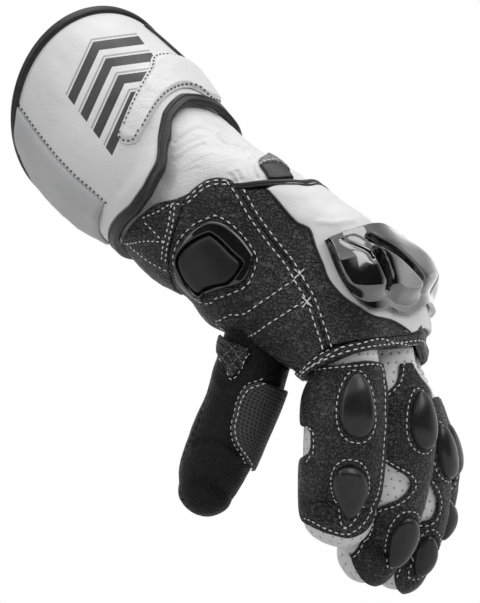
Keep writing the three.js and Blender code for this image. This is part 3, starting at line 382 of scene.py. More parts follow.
# %% [markdown]
# ## Closed meshes from grids
# A sewn-on panel is a pillow: a top skin and an underside that share their border, with the
# edge rolled over as turned leather is. A shell is a tube or a pocket with an outer and an
# inner skin. Both come from one grid of places on a limb, so that relief is only a height. A
# solidify modifier could give the thickness too, but not the rolled edge. No one sees the
# underside, so its faces are twice as wide and long.

# %% Faces of a grid
def quads_of(first, rows, cols, wrap=False):
    """Quads of a grid of corners whose numbers start at first."""
    across = np.arange(cols if wrap else cols - 1)
    i, k = np.meshgrid(np.arange(rows - 1) * cols, across, indexing="ij")
    n = (k + 1) % cols
    return first + np.stack([i + k, i + cols + k, i + cols + n, i + n], axis=-1).reshape(-1, 4)


def fanned_from_corner(face, cols):
    """The six corners of a face at a grid's corner, in turn from the grid's own corner."""
    odd = [sum(divmod(corner, cols)) % 2 for corner in face]
    start = next(n for n in range(6) if odd[n - 1] and odd[(n + 1) % 6])
    return face[start:] + face[:start]


def lining(rows, cols, wrap=False):
    """The unseen side of a grid: one face for four quads, with every corner of the rim kept."""
    faces = []
    for i in range(0, rows - 2, 2):
        for k in range(0, cols if wrap else cols - 2, 2):
            mid, far = k + 1, (k + 2) % cols
            face = [i * cols + k, i * cols + far, (i + 2) * cols + far, (i + 2) * cols + k]
            if not wrap and k == 0:
                face.append((i + 1) * cols)
            if i + 3 == rows:
                face.insert(3, (i + 2) * cols + mid)
            if not wrap and far == cols - 1:
                face.insert(2, (i + 1) * cols + far)
            if i == 0:
                face.insert(1, mid)
            if len(face) == 6:
                face = fanned_from_corner(face, cols)
                faces += [[face[0], face[n], face[n + 1]] for n in range(1, 5)]
            else:
                faces.append(face)
    return faces


print("faces of a grid and of its lining:", len(quads_of(0, 9, 9)), len(lining(9, 9)))

# %% [markdown]
# ## Patches between edges
# A panel of leather is cut out between four seams. A Coons patch fills four such edges with a
# smooth grid of places, so a panel is described by what one sees of it: its edges.

# %% Patches and steps
EDGE_STEPS = 160                                 # places that stand for an edge
ROLL_SHARES = np.array([0, 0.06, 0.22, 0.5])     # extra rows in the rolled edge
WIDEST_ROLL = 0.4                                # share of a panel that an edge's roll may take


def coons(limb, *edges):
    """A patch between edges (top, bottom, left, right): its place at (s, t), s runs down."""
    top, bottom, left, right = (evenly(limb, edge, EDGE_STEPS) for edge in edges)

    def pick(line, x):
        at_step, steps = x * (EDGE_STEPS - 1), np.arange(EDGE_STEPS)
        return np.stack([np.interp(at_step, steps, line[:, c]) for c in range(2)], axis=-1)

    def place(s, t):
        a, b, c, d = pick(top, t), pick(bottom, t), pick(left, s), pick(right, s)
        s, t = s[..., None], t[..., None]
        corners = ((1 - s) * (1 - t) * top[0] + (1 - s) * t * top[-1]
                   + s * (1 - t) * bottom[0] + s * t * bottom[-1])
        return (1 - s) * a + s * b + (1 - t) * c + t * d - corners
    return place


def between(near, far, limb):
    """A patch between two edges, near at t = 0 and far at t = 1."""
    return coons(limb, joined(near[:1], far[:1]), joined(near[-1:], far[-1:]), near, far)


def stations(count, length, roll):
    """Shares from 0 to 1 with extra ones near both ends, where the edge rolls over."""
    edge = min(roll / length, WIDEST_ROLL)
    lip = ROLL_SHARES * edge
    return np.concatenate([lip, np.linspace(edge, 1 - edge, count), 1 - lip[::-1]])


print("rows of a panel 20 mm long:", stations(9, 20.0, 1.1).round(3))

# %% [markdown]
# ## Relief from lines
# Folds, grooves and welts all follow lines on the leather. The distance from such a line gives
# a height, which is simpler than sculpting and can be read and changed as a table.

# %% Distances and folds
REACH = 6.0          # past this distance a line has no effect
AT_ONCE = 4000       # places that are measured at a time, to save memory


def far_from(points, lines):
    """Each point's distance from the nearest of the lines."""
    flat = points.reshape(-1, 3)
    least = np.full(len(flat), 1e9)
    for line in lines:
        low, high = line.min(axis=0) - REACH, line.max(axis=0) + REACH
        close = np.where(((flat > low) & (flat < high)).all(axis=1))[0]
        for start in range(0, len(close), AT_ONCE):
            some = close[start:start + AT_ONCE]
            gap = np.linalg.norm(flat[some][:, None] - line[None], axis=2).min(axis=1)
            least[some] = np.minimum(least[some], gap)
    return least.reshape(points.shape[:-1])


def run(points, axis):
    """How far each point of a grid is from the grid's start, along one of its axes."""
    steps = np.linalg.norm(np.diff(points, axis=axis), axis=2)
    start = np.zeros_like(np.take(steps, [0], axis))
    return np.concatenate([start, np.cumsum(steps, axis=axis)], axis=axis)


def smooth(x):
    x = np.clip(x, 0, 1)
    return x * x * (3 - 2 * x)


def polished(grid, times):
    """The grid with its inner corners eased towards their neighbours."""
    for _ in range(times):
        grid[1:-1] = 0.5 * grid[1:-1] + 0.25 * (grid[2:] + grid[:-2])
        grid[:, 1:-1] = 0.5 * grid[:, 1:-1] + 0.25 * (grid[:, 2:] + grid[:, :-2])
    return grid


def fold_relief(points, folds):
    """Heights from a list of folds: (line on the skin, width, height); height < 0 sinks."""
    height = np.zeros(points.shape[:-1])
    for line, width, rise in folds:
        away = far_from(points, [line])
        height += rise * np.exp(-(away / width)**2)
    return height


def place_folds(limb, table, count=24):
    """Folds from a table of (places seen from the front, width, height)."""
    return [(limb.point(*evenly(limb, on(limb, *line), count).T), wide, high)
            for line, wide, high in table]


print("fold relief at its line:", fold_relief(np.zeros((1, 1, 3)), [(np.zeros((1, 3)), 2, -0.5)]))

# %% [markdown]
# ## A sewn-on panel
# Turned leather is thick in the middle and thin at its edge, where it rolls over to the seam.
# The panel's height swells over the width of that roll as a quarter of a circle does.

# %% Panels
PANEL_LOW = 0.3      # how high over the skin the underside of most panels lies
LEAST_RISE = 0.3     # the least thickness of a panel between its edges
GROOVE_WIDE = 0.9    # half the width of the groove that a seam pulls into the leather
PANEL_LUMP = 7       # how wide the lumps of a panel are
LUMPS_FROM, FOLDS_FROM = 4, 3    # distances from the edge where lumps and folds are whole


def panel(name, limb, place, material, node=None, step=0.8, low=PANEL_LOW, top=1.9, roll=1.1,
          mid=None, seams=(), relief=None, folds=(), round_it=False, lumps=0.12, groove=0.35,
          polish=0):
    """A pillow from low to top over the skin, with its widest turn at mid."""
    s, t = np.meshgrid(np.linspace(0, 1, 9), np.linspace(0, 1, 9), indexing="ij")
    rough = limb.point(*np.moveaxis(place(s, t), -1, 0))
    long = np.linalg.norm(np.diff(rough, axis=0), axis=2).sum(axis=0).max()
    wide = np.linalg.norm(np.diff(rough, axis=1), axis=2).sum(axis=1).max()
    rows = stations(max(3, int(long / step) | 1), long, roll)
    if round_it:
        count = int(wide / step) // 2 * 2
        cols = np.arange(count) / count
    else:
        cols = stations(max(3, int(wide / step) | 1), wide, roll)
    s, t = np.meshgrid(rows, cols, indexing="ij")
    uv = place(s, t)
    base = limb.point(uv[..., 0], uv[..., 1])
    out = polished(limb.point(uv[..., 0], uv[..., 1], 1.0) - base, polish)
    base = polished(base, polish)
    down, over = run(base, 0), run(base, 1)
    border = np.minimum(down, down[-1:] - down)
    if not round_it:
        border = np.minimum(border, np.minimum(over, over[:, -1:] - over))
    swell = np.sqrt(np.maximum(0, 1 - (1 - np.clip(border / roll, 0, 1))**2))
    mid = low if mid is None else mid
    height = top - mid + lumps * noise(base, PANEL_LUMP, 3) * np.clip(border / LUMPS_FROM, 0, 1)
    if relief is not None:
        height = height + relief(s, t, base)
    if len(folds):
        height = height + fold_relief(base, folds) * np.clip(border / FOLDS_FROM, 0, 1)
    if len(seams):
        away = far_from(base, [limb.point(line[:, 0], line[:, 1]) for line in seams])
        height = height - groove * np.exp(-(away / GROOVE_WIDE)**2)
    height = mid + np.maximum(height, LEAST_RISE) * swell
    upper = base + out * height[..., None]
    lower = base + out * (mid - (mid - low) * swell)[..., None]
    skin = np.stack([over, down], axis=-1) * 0.001
    corners = np.concatenate([upper.reshape(-1, 3), lower.reshape(-1, 3)])
    number = np.arange(s.size).reshape(s.shape)
    rim = np.zeros(s.shape, bool)
    rim[[0, -1]] = True
    if not round_it:
        rim[:, [0, -1]] = True
    under = np.where(rim, number, number + s.size).ravel()
    below = [under[face] for face in lining(*s.shape, round_it)]
    uv_all = np.concatenate([skin.reshape(-1, 2)] * 2)
    return keep(name, corners, quads_of(0, *s.shape, round_it), material, node, uv_all, below)


print("most panels lie", PANEL_LOW, "mm over their skin")

# %% [markdown]
# ## A hollow shell
# The cuff, the hand and each finger's pocket are hollow, because a hand goes into them. A
# shell has an outer wall, an inner wall and an edge between them, or a closed tip.

# %% Shells
SHELL_LUMP = 9           # how wide the lumps of a shell are
SHORT_OF_TIP = 0.02      # how far before the tip the last row of a pocket ends
TIP_CROWDING = 1.25      # more than 1 puts the rows closer together towards the tip


def shell(name, limb, start, stop, material, node=None, step=1.0, wall=2.0, relief=None,
          folds=(), lumps=0.25):
    """A hollow limb from start(v) to stop(v), open there, or closed at its tip if stop is None."""
    girth = np.linalg.norm(np.diff(limb.grid[len(limb.grid) // 2], axis=0), axis=1).sum()
    around = int(girth / step) // 2 * 2
    v = np.arange(around) / around
    first = start(v)
    last = np.full(around, limb.reach - SHORT_OF_TIP) if stop is None else stop(v)
    middle_line = limb.grid[int(first.mean() * PER_ROW):int(last.mean() * PER_ROW) + 1, 0]
    rows = int(np.linalg.norm(np.diff(middle_line, axis=0), axis=1).sum() / step) + 3 | 1
    share = np.linspace(0, 1, rows)[:, None]
    if stop is None:
        share = 1 - (1 - share)**TIP_CROWDING
    u = first * (1 - share) + last * share
    v = v + np.zeros_like(u)
    base = limb.point(u, v)
    height = lumps * noise(base, SHELL_LUMP, 5)
    if relief is not None:
        height = height + relief(u, v, base)
    if len(folds):
        height = height + fold_relief(base, folds)
    ease = np.clip(np.minimum(share, (1 - share) + (1 if stop is None else 0)) * rows / 3, 0, 1)
    outer = limb.point(u, v, height * ease)
    inner = limb.point(u, v, -wall + np.minimum(height, 0) * ease)
    girth = np.linalg.norm(np.roll(base, -1, axis=1) - base, axis=2).sum(axis=1)[:, None]
    skin = np.stack([(v - np.round(v)) * girth,
                     run(base, 0).mean(axis=1)[:, None] + 0 * u], axis=-1) * 0.001
    outside[name] = n = rows * around
    k = np.arange(around)
    nxt, a = (k + 1) % around, n - around
    quads = [quads_of(0, rows, around, True), np.stack([k, nxt, n + nxt, n + k], axis=1)]
    corners = [outer.reshape(-1, 3), inner.reshape(-1, 3)]
    others = [[n + i for i in face] for face in lining(rows, around, True)]
    if stop is None:
        tip = limb.point(np.array(limb.reach), np.array(0.0))
        corners += [tip[None], tip[None] + (outer[-3].mean(axis=0) - tip) / 3]
        others += ([(a + j, a + i, 2 * n) for i, j in zip(k, nxt)]
                   + [(n + a + i, n + a + j, 2 * n + 1) for i, j in zip(k, nxt)])
    else:
        quads.append(np.stack([a + nxt, a + k, n + a + k, n + a + nxt], axis=1))
    uv_all = np.concatenate([skin.reshape(-1, 2)] * 2 + [np.zeros((2, 2))] * (stop is None))
    return keep(name, np.concatenate(corners), np.concatenate(quads), material, node, uv_all,
                others)


print("the index finger's pocket is", index.reach, "sections long")

# %% [markdown]
# ## Materials
# A small class wraps a node's output, so that shader maths reads as Python. Every other node
# is made by one method with its type, its settings and its inputs. Images of leather could be
# wrapped round the pieces instead, but they would need files, and they would stretch.

# %% A wrapper for shader maths
class Value:
    def __init__(self, shader, socket):
        self.shader, self.socket = shader, socket

    def math(self, operation, *others):
        node = self.shader.tree.nodes.new("ShaderNodeMath")
        node.operation = operation
        for slot, value in enumerate((self,) + others):
            self.shader.join(value, node.inputs[slot])
        return Value(self.shader, node.outputs[0])

    def __rsub__(self, other):
        return self.math("MULTIPLY", -1.0).math("ADD", other)

    def steps(self, low, high):
        """0 below low, 1 above high, and smooth between."""
        node = self.shader.tree.nodes.new("ShaderNodeMapRange")
        node.interpolation_type = "SMOOTHSTEP"
        self.shader.join(self, node.inputs["Value"])
        node.inputs["From Min"].default_value = low
        node.inputs["From Max"].default_value = high
        return Value(self.shader, node.outputs["Result"])


for word, operation in {
        "__add__": "ADD", "__sub__": "SUBTRACT", "__mul__": "MULTIPLY", "__truediv__": "DIVIDE",
        "__gt__": "GREATER_THAN", "__lt__": "LESS_THAN", "power": "POWER", "least": "MINIMUM",
        "sine": "SINE", "size": "ABSOLUTE", "part": "FRACT", "whole": "FLOOR"}.items():
    setattr(Value, word, lambda self, *others, operation=operation:
            self.math(operation, *others))


class Shader:
    def __init__(self, name, rough=0.5, **fixed):
        self.material = bpy.data.materials.new(name)
        self.material.use_nodes = True
        self.tree = self.material.node_tree
        self.surface = self.tree.nodes["Principled BSDF"]
        self.surface.inputs["Roughness"].default_value = rough
        for socket, value in fixed.items():
            self.surface.inputs[socket.replace("_", " ")].default_value = value

    def join(self, value, socket):
        if isinstance(value, Value):
            self.tree.links.new(value.socket, socket)
        else:
            socket.default_value = value

    def node(self, kind, settings=None, inputs=None, output=0):
        node = self.tree.nodes.new(kind)
        for key, value in (settings or {}).items():
            setattr(node, key, value)
        for key, value in (inputs or {}).items():
            self.join(value, node.inputs[key])
        return Value(self, node.outputs[output])

    def place(self):
        return self.node("ShaderNodeTexCoord", output="Object")

    def skin(self):
        return self.node("ShaderNodeUVMap", {"uv_map": "skin"})

    def axes(self, vector):
        node = self.tree.nodes.new("ShaderNodeSeparateXYZ")
        self.join(vector, node.inputs[0])
        return [Value(self, node.outputs[c]) for c in range(3)]

    def noise(self, vector, scale, detail=2.0, rough=0.5):
        return self.node("ShaderNodeTexNoise", inputs={
            "Vector": vector, "Scale": scale, "Detail": detail, "Roughness": rough})

    def cells(self, vector, scale, feature="F1"):
        return self.node("ShaderNodeTexVoronoi", {"feature": feature},
                         {"Vector": vector, "Scale": scale}, output="Distance")

    def stretched(self, vector, scale, turn=(0, 0, 0)):
        return self.node("ShaderNodeMapping", inputs={
            "Vector": vector, "Scale": scale, "Rotation": turn})

    def mix(self, share, a, b):
        node = self.tree.nodes.new("ShaderNodeMix")
        node.data_type = "RGBA"
        self.join(share, node.inputs[0])
        self.join(a, node.inputs[6])
        self.join(b, node.inputs[7])
        return Value(self, node.outputs[2])

    def bump(self, height, depth, under=None):
        """Relief in metres: height 1 stands depth metres proud."""
        inputs = {"Height": height, "Distance": depth, "Strength": 1.0}
        if under is not None:
            inputs["Normal"] = under
        return self.node("ShaderNodeBump", inputs=inputs)

    def finish(self, color=None, rough=None, normal=None):
        for value, socket in ((color, "Base Color"), (rough, "Roughness"), (normal, "Normal")):
            if value is not None:
                self.join(value, self.surface.inputs[socket])
        return self.material


def rgb(value, blue=0.0):
    return (value, value, value + blue, 1.0)


print("a dull grey:", rgb(0.2))

# %% [markdown]
# ### Leathers
# Black leather has pebbles about 1 mm wide with a dull sheen on top of each. The sheen is partly
# a lower roughness there and partly painted: the tops are painted lighter as sheen, and the
# creases darker as shade. The kinds for the thumb and the palm sides of the fingers are finer
# and flatter. White leather is finished with paint, so its pebbles are shallow and it shows long
# fine creases instead. On the fingers it is punched with small holes for air. All relief is
# bump, because it is finer than the meshes.

# %% Leather materials
CREASE_STRETCH = (1, 1, 2.6)     # creases run across the height more than along it
MM = 1000                        # millimetres in a metre, for patterns with a pitch


def black_leather(name, pebble=950, depth=0.0014, sheen=0.40, tone=0.002, light=0.085,
                  gloss=0.5):
    """Pebble tops painted to tone light as sheen, creases to tone as shade; pebble: how many fit a
    metre.
    """
    m = Shader(name, rough=sheen, Specular_IOR_Level=gloss)
    spot = m.place()
    grain = m.cells(spot, pebble)
    fine = m.noise(spot, pebble * 1.7)
    creases = (m.noise(m.stretched(spot, CREASE_STRETCH), 190, 3.0, 0.6) - 0.5).size()
    creases = (creases * 7.0).least(1.0)
    broad = m.noise(spot, 40)
    # painted sheen and shade: pebble tops are painted lighter, creases and gaps between pebbles
    # darker; broad is a random tone
    tops = (grain * 1.2 - fine * 0.4 - broad * 0.6 - creases * 0.35 + 0.6).steps(0.66, 0.16)
    rough = grain * 0.2 + broad * 0.12 + (sheen - 0.14)
    relief = m.bump(creases * 0.7 - grain * 0.8 + fine * 0.2, depth)
    return m.finish(m.mix(tops, rgb(tone), rgb(light)), rough, relief)


def white_base(m, depth=0.00014, wrinkle=420):
    """The place, tone and relief that every white leather starts from."""
    spot = m.place()
    fine = m.noise(m.stretched(spot, CREASE_STRETCH, (0.2, 0.3, 0.2)), wrinkle, 3.0, 0.6)
    pores = m.cells(spot, 1300, "SMOOTH_F1")
    broad = m.noise(spot, 30)
    color = m.mix(broad.steps(0.3, 0.7), rgb(0.72), rgb(0.77))
    return spot, color, m.bump(fine * 1.2 + pores * 0.4, depth)


def white_leather(name, **options):
    m = Shader(name, rough=0.42)
    spot, color, normal = white_base(m, **options)
    return m.finish(color, None, normal)


def punched_leather(name, pitch=4.4, hole=0.42):
    """White leather with rows of small holes; pitch and hole are millimetres."""
    m = Shader(name, rough=0.45)
    spot, color, normal = white_base(m)
    across, down, _ = m.axes(m.skin())
    row = down * (MM / pitch)
    shift = (row.whole() * 0.5).part()
    x = (across * (MM / pitch) + shift).part() - 0.5
    y = row.part() - 0.5
    away = (x * x + y * y).power(0.5) * pitch
    hole_here = 1.0 - away.steps(hole * 0.75, hole * 1.15)
    dimple = away.steps(hole, hole * 2.6)
    color = m.mix(hole_here, color, rgb(0.012))
    return m.finish(color, None, m.bump(dimple, 0.0003, normal))


def grip_leather(name, pitch=1.75):
    """Black leather pressed with a grid of small dents, pitch millimetres apart, each painted dark
    as shade.
    """
    m = Shader(name, rough=0.5)
    across, down, _ = m.axes(m.skin())
    x = (across * (MM / pitch)).part() - 0.5
    y = (down * (MM / pitch)).part() - 0.5
    away = (x * x + y * y).power(0.5)
    dent_and_painted_shade = away.steps(0.2, 0.42)
    grain = m.cells(m.place(), 1500)
    # painted shade: each dent is darker in its middle, where it is deepest
    color = m.mix(dent_and_painted_shade, rgb(0.003), rgb(0.05))
    return m.finish(color, None, m.bump(dent_and_painted_shade + grain * 0.2, 0.0005))


WHITE = white_leather("white_leather")
WHITE_SOFT = white_leather("white_leather_soft", depth=0.0003, wrinkle=330)
PUNCHED = punched_leather("punched_leather")
BLACK = black_leather("black_leather")
BLACK_SMOOTH = black_leather("black_leather_smooth", pebble=1300, depth=0.0005, light=0.008,
                             gloss=0.22)
GRIP = grip_leather("grip_leather")
GRAY_LEATHER = black_leather("gray_leather", pebble=1300, depth=0.0002, tone=0.12, light=0.34)
BINDING = black_leather("binding", pebble=1800, depth=0.00006, sheen=0.36, tone=0.012,
                        light=0.024)
print("materials with the leathers:", len(bpy.data.materials))

# %% [markdown]
# ### Cloth, armour and thread
# The stretch cloth is a knit, so its relief is two sines. The armour is moulded: a clear coat
# gives the knuckles their sharp mirror, and the pads only a little of it. Thread is twisted.
# The cuff's print is made of bars from shader maths, so it stays sharp at any size.

# %% Other materials
def stretch_cloth():
    m = Shader("stretch_cloth", rough=0.85)
    across, down, _ = m.axes(m.skin())
    knit = (across * 9000).sine() * (down * 9000).sine()
    broad = m.noise(m.place(), 60, 3.0)
    color = m.mix(knit.steps(-0.8, 0.8), rgb(0.47, 0.01), rgb(0.56, 0.01))
    color = m.mix(broad.steps(0.35, 0.65) * 0.3, color, rgb(0.42, 0.01))
    return m.finish(color, None, m.bump(knit, 0.00004))


def armour(name, tone, rough, coat=0.0, speck=0.0, shine=0.4):
    """Moulded plastic; coat is its clear layer and speck the height of its fine grain."""
    m = Shader(name, rough=rough, Coat_Weight=coat, Coat_Roughness=0.04,
               Coat_IOR=1.4 + coat * 0.5, Specular_IOR_Level=shine)
    spot = m.place()
    haze = m.noise(spot, 220, 3.0)
    color = m.mix(haze.steps(0.3, 0.7), rgb(tone), rgb(tone * 1.5))
    normal = m.bump(m.noise(spot, 900), speck) if speck else None
    return m.finish(color, haze * 0.06 + (rough - 0.03), normal)


def thread(name, tone):
    m = Shader(name, rough=0.6)
    x, _, z = m.axes(m.place())
    twist = (z * 9000 + x * 9000).sine()
    return m.finish(m.mix(twist.steps(-1, 1), rgb(tone * 0.75), rgb(tone)))


SLANT_X, SLANT_Z = 0.80, 0.60        # the direction across the print, seen from the front
BAR_ROWS, BAR_PITCH = 4.0, 9.5       # rows of bars and millimetres from one to the next
BAR_START, BAR_BEND, BAR_HALF = 56.0, 0.55, 21.0
BLACK_BAND, GRAY_BAND = (0.12, 0.62), (0.70, 0.80)       # shares of a row


def printed_leather():
    """The cuff's white leather with a plain print of slanted bars."""
    m = Shader("printed_leather", rough=0.42)
    spot, color, normal = white_base(m)
    x, _, z = m.axes(spot)
    across = (x * SLANT_X + z * SLANT_Z) * MM
    along = (z * SLANT_X - x * SLANT_Z) * MM
    bent = along + (across - 2.0).size() * BAR_BEND
    rows = (bent - BAR_START) / BAR_PITCH
    band = rows.part()
    inside = (rows > 0.0) * (rows < BAR_ROWS) * ((across + 1.0).size() < BAR_HALF)
    inside = inside * (along > across * 0.5 + 45.0)
    ink, gray = ((band > low) * (band < high) * inside for low, high in (BLACK_BAND, GRAY_BAND))
    near_side = m.node("ShaderNodeAttribute", {"attribute_name": "near_side"}, output="Fac")
    color = m.mix(gray * near_side * 0.8, color, rgb(0.30))
    color = m.mix(ink * near_side * 0.96, color, rgb(0.018))
    return m.finish(color, None, normal)


STRETCH = stretch_cloth()
GLOSS = armour("gloss_armour", 0.004, 0.07, coat=1.0, shine=1.0)
PAD = armour("pad_armour", 0.012, 0.30, coat=0.15)
PLATE = armour("matte_plate", 0.007, 0.45, speck=0.00003)
LIP = armour("gloss_ring", 0.006, 0.14, coat=0.6)
PRINT = printed_leather()
WHITE_THREAD = thread("white_thread", 0.85)
DARK_THREAD = thread("dark_thread", 0.03)
GRAY_THREAD = thread("gray_thread", 0.22)
print("materials in all:", len(bpy.data.materials))

# %% [markdown]
# ## Stitches
# A seam is a row of short threads. One small node group makes them: it walks along the seam's
# line, sets an instance at each step, turns it along the line, and makes all of them real. By
# hand that would be hundreds of copies; here a seam is one line and three sizes.

# %% The stitch builder
def stitch_group():
    group = bpy.data.node_groups.new("stitches", "GeometryNodeTree")
    face = group.interface
    face.new_socket("Geometry", in_out="INPUT", socket_type="NodeSocketGeometry")
    for label, value in (("Pitch", 0.0036), ("Length", 0.0023), ("Thickness", 0.0007)):
        face.new_socket(label, in_out="INPUT", socket_type="NodeSocketFloat").default_value = value
    face.new_socket("Thread", in_out="INPUT", socket_type="NodeSocketMaterial")
    face.new_socket("Geometry", in_out="OUTPUT", socket_type="NodeSocketGeometry")
    add = group.nodes.new
    start, end = add("NodeGroupInput"), add("NodeGroupOutput")
    line, spaced = add("GeometryNodeMeshToCurve"), add("GeometryNodeResampleCurve")
    spaced.mode = "LENGTH"
    thread_end, scaled = add("GeometryNodeMeshUVSphere"), add("GeometryNodeTransform")
    thread_end.inputs["Segments"].default_value = 8
    thread_end.inputs["Rings"].default_value = 6
    thread_end.inputs["Radius"].default_value = 0.5
    sizes, tangent = add("ShaderNodeCombineXYZ"), add("GeometryNodeInputTangent")
    turned, placed = add("FunctionNodeAlignRotationToVector"), add("GeometryNodeInstanceOnPoints")
    turned.axis = "X"
    real, shaded = add("GeometryNodeRealizeInstances"), add("GeometryNodeSetShadeSmooth")
    colored = add("GeometryNodeSetMaterial")
    for source, output, target, slot in (
            (start, "Geometry", line, 0), (line, 0, spaced, "Curve"),
            (start, "Pitch", spaced, "Length"), (start, "Length", sizes, "X"),
            (start, "Thickness", sizes, "Y"), (start, "Thickness", sizes, "Z"),
            (thread_end, "Mesh", scaled, "Geometry"), (sizes, 0, scaled, "Scale"),
            (spaced, 0, placed, "Points"), (scaled, 0, placed, "Instance"),
            (tangent, 0, turned, "Vector"), (turned, 0, placed, "Rotation"),
            (placed, 0, real, 0), (real, 0, shaded, 0), (shaded, 0, colored, "Geometry"),
            (start, "Thread", colored, "Material"), (colored, 0, end, 0)):
        group.links.new(source.outputs[output], target.inputs[slot])
    return group


STITCHES = stitch_group()
print("nodes in the stitch builder:", len(STITCHES.nodes))

# %% [markdown]
# ## Sewing
# A seam's line is drawn on the limb, but its thread lies on the leather that is sewn there. So
# a ray goes down from above each place and takes the first piece that it meets. Where there is
# none, the row of stitches stops.

# %% Sewing along lines
RAY_FROM = 9.0       # how high over the skin a ray starts
SEAM_STEP = 0.4      # millimetres from one ray to the next
THREAD_LIFT = 0.2    # share of a thread's thickness by which its middle is over the leather
SIDE_STEP = 0.01     # how far beside a place the slope of the skin is measured


def seams_on(limb, pieces, *lists):
    """Rows of stitches along lists of places that are seen from the front."""
    return [(limb, on(limb, *places), pieces) for places in lists]


def sew(name, lines, thread_material=WHITE_THREAD, pitch=3.6, length=2.3, thick=0.62):
    """Stitches along lines: each is (limb, places, the pieces that it is sewn through)."""
    corners, edges = [], []
    for limb, places, pieces in lines:
        line = evenly(limb, places, step=SEAM_STEP)
        skin = limb.point(line[:, 0], line[:, 1])
        out = limb.point(line[:, 0], line[:, 1], 1.0) - skin
        before = False
        for point, away in zip(skin, out):
            start, down = Vector(point + away * RAY_FROM), Vector(-away)
            hits = [surfaces[piece].ray_cast(start, down, RAY_FROM + 1) for piece in pieces]
            tops = [(hit[3], hit[0]) for hit in hits if hit[0] is not None]
            if tops:
                corners.append(np.array(min(tops)[1]) + away * thick * THREAD_LIFT)
                if before:
                    edges.append((len(corners) - 2, len(corners) - 1))
            before = bool(tops)
    path = bpy.data.meshes.new(name)
    path.from_pydata((np.array(corners) * 0.001).tolist(), edges, [])
    carrier = bpy.data.objects.new(name + "_path", path)
    bpy.context.scene.collection.objects.link(carrier)
    modifier = carrier.modifiers.new("stitches", "NODES")
    modifier.node_group = STITCHES
    settings = {"Pitch": pitch * 0.001, "Length": length * 0.001, "Thickness": thick * 0.001,
                "Thread": thread_material}
    for item in STITCHES.interface.items_tree:
        if item.name in settings:
            modifier[item.identifier] = settings[item.name]
    ready = carrier.evaluated_get(bpy.context.evaluated_depsgraph_get())
    mesh = bpy.data.meshes.new_from_object(ready)
    mesh.name = name
    carrier.modifiers.clear()
    bpy.data.objects.remove(carrier)
    bpy.data.meshes.remove(path)
    piece = bpy.data.objects.new(name, mesh)
    bpy.context.scene.collection.objects.link(piece)
    if not mesh.materials:
        mesh.materials.append(thread_material)
    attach(piece, "root")
    made[name] = len(mesh.polygons)
    return piece


def beside(limb, places, away):
    """The line that runs beside a line, away millimetres to its right on the skin."""
    line = evenly(limb, places, 40)
    points = limb.point(line[:, 0], line[:, 1])
    ahead = np.gradient(points, axis=0)
    normal = limb.sample(limb.normal, line[:, 0], line[:, 1])
    side = np.cross(ahead, normal)
    side /= np.linalg.norm(side, axis=1, keepdims=True)
    down = (limb.point(line[:, 0] + SIDE_STEP, line[:, 1]) - points) / SIDE_STEP
    over = (limb.point(line[:, 0], line[:, 1] + SIDE_STEP) - points) / SIDE_STEP
    return np.array([place + np.linalg.lstsq(np.stack(slopes, axis=1), move, rcond=None)[0]
                     for place, slopes, move in zip(line, zip(down, over), side * away)])


print("millimetres between two rays of a seam:", SEAM_STEP)

# %% [markdown]
# ## The gauntlet
# The cuff is a wide cone of white leather. Its mouth and the edge of its flap are bound with
# a strip of black leather, folded over the edge and sewn down. A grey stretch panel lets the
# palm side give, and a quilted channel crosses it on the back. The flap's edge is one line
# round the limb, traced in front and continued behind, and all of these pieces start from it.

# %% Cuff edges
CUFF_WALL = 2.2
RIM_WIDE, FLAP_WIDE, FLAP_OUT = 4.6, 6.2, 1.2
EDGE_FINE, EDGE_EASINGS = 600, 10        # steps and softening of an edge that runs all round
ROW_SPAN = 0.2                           # rows over which the skin's stretch is measured


def all_round(places):
    """u at v for an edge that runs all round a limb."""
    u, v = places[:, 0], places[:, 1] % 1.0
    order = np.argsort(v)
    u, v = u[order], v[order]
    wide_v = np.concatenate([v - 1, v, v + 1])
    wide_u = np.concatenate([u, u, u])
    fine = np.linspace(-0.25, 1.25, EDGE_FINE)
    eased = np.interp(fine, wide_v, wide_u)
    for _ in range(EDGE_EASINGS):
        eased[1:-1] = 0.5 * eased[1:-1] + 0.25 * (eased[2:] + eased[:-2])
    return lambda x: np.interp(x % 1.0, fine, eased)


def per_row(limb, u, v):
    """Millimetres for each unit of u at places on a limb."""
    low = np.maximum(u - ROW_SPAN / 2, 0)
    ahead = limb.point(low + ROW_SPAN, v) - limb.point(low, v)
    return np.linalg.norm(ahead, axis=-1) / ROW_SPAN


flap_px = [(204, 98), (194, 96), (183, 96), (172, 105), (165, 115), (162, 129),
           (160, 143), (160, 155), (158, 165), (145, 189), (132, 207), (119, 218), (112, 228),
           (110, 237)]
flap_behind = at((2.25, 0.222), (2.42, 0.25), (2.65, 0.285), (2.75, 0.34), (2.78, 0.42))
flap_edge = all_round(joined(flap_behind[::-1], on(cuff, *flap_px)))


def flap(v, away):
    return flap_edge(v) + away / per_row(cuff, flap_edge(v), v)


rim_end = lambda v: (RIM_WIDE + 0.3) / per_row(cuff, np.full_like(v, 0.2), v)
print("the flap's edge runs from row", round(float(flap_edge(np.array(0.95))), 2), "at the front")

# %% [markdown]
# ### The cuff's shell
# The print covers the outer wall of the near side only. A value on the mesh says where that
# is, and the print's material reads it, so one material serves the whole shell.

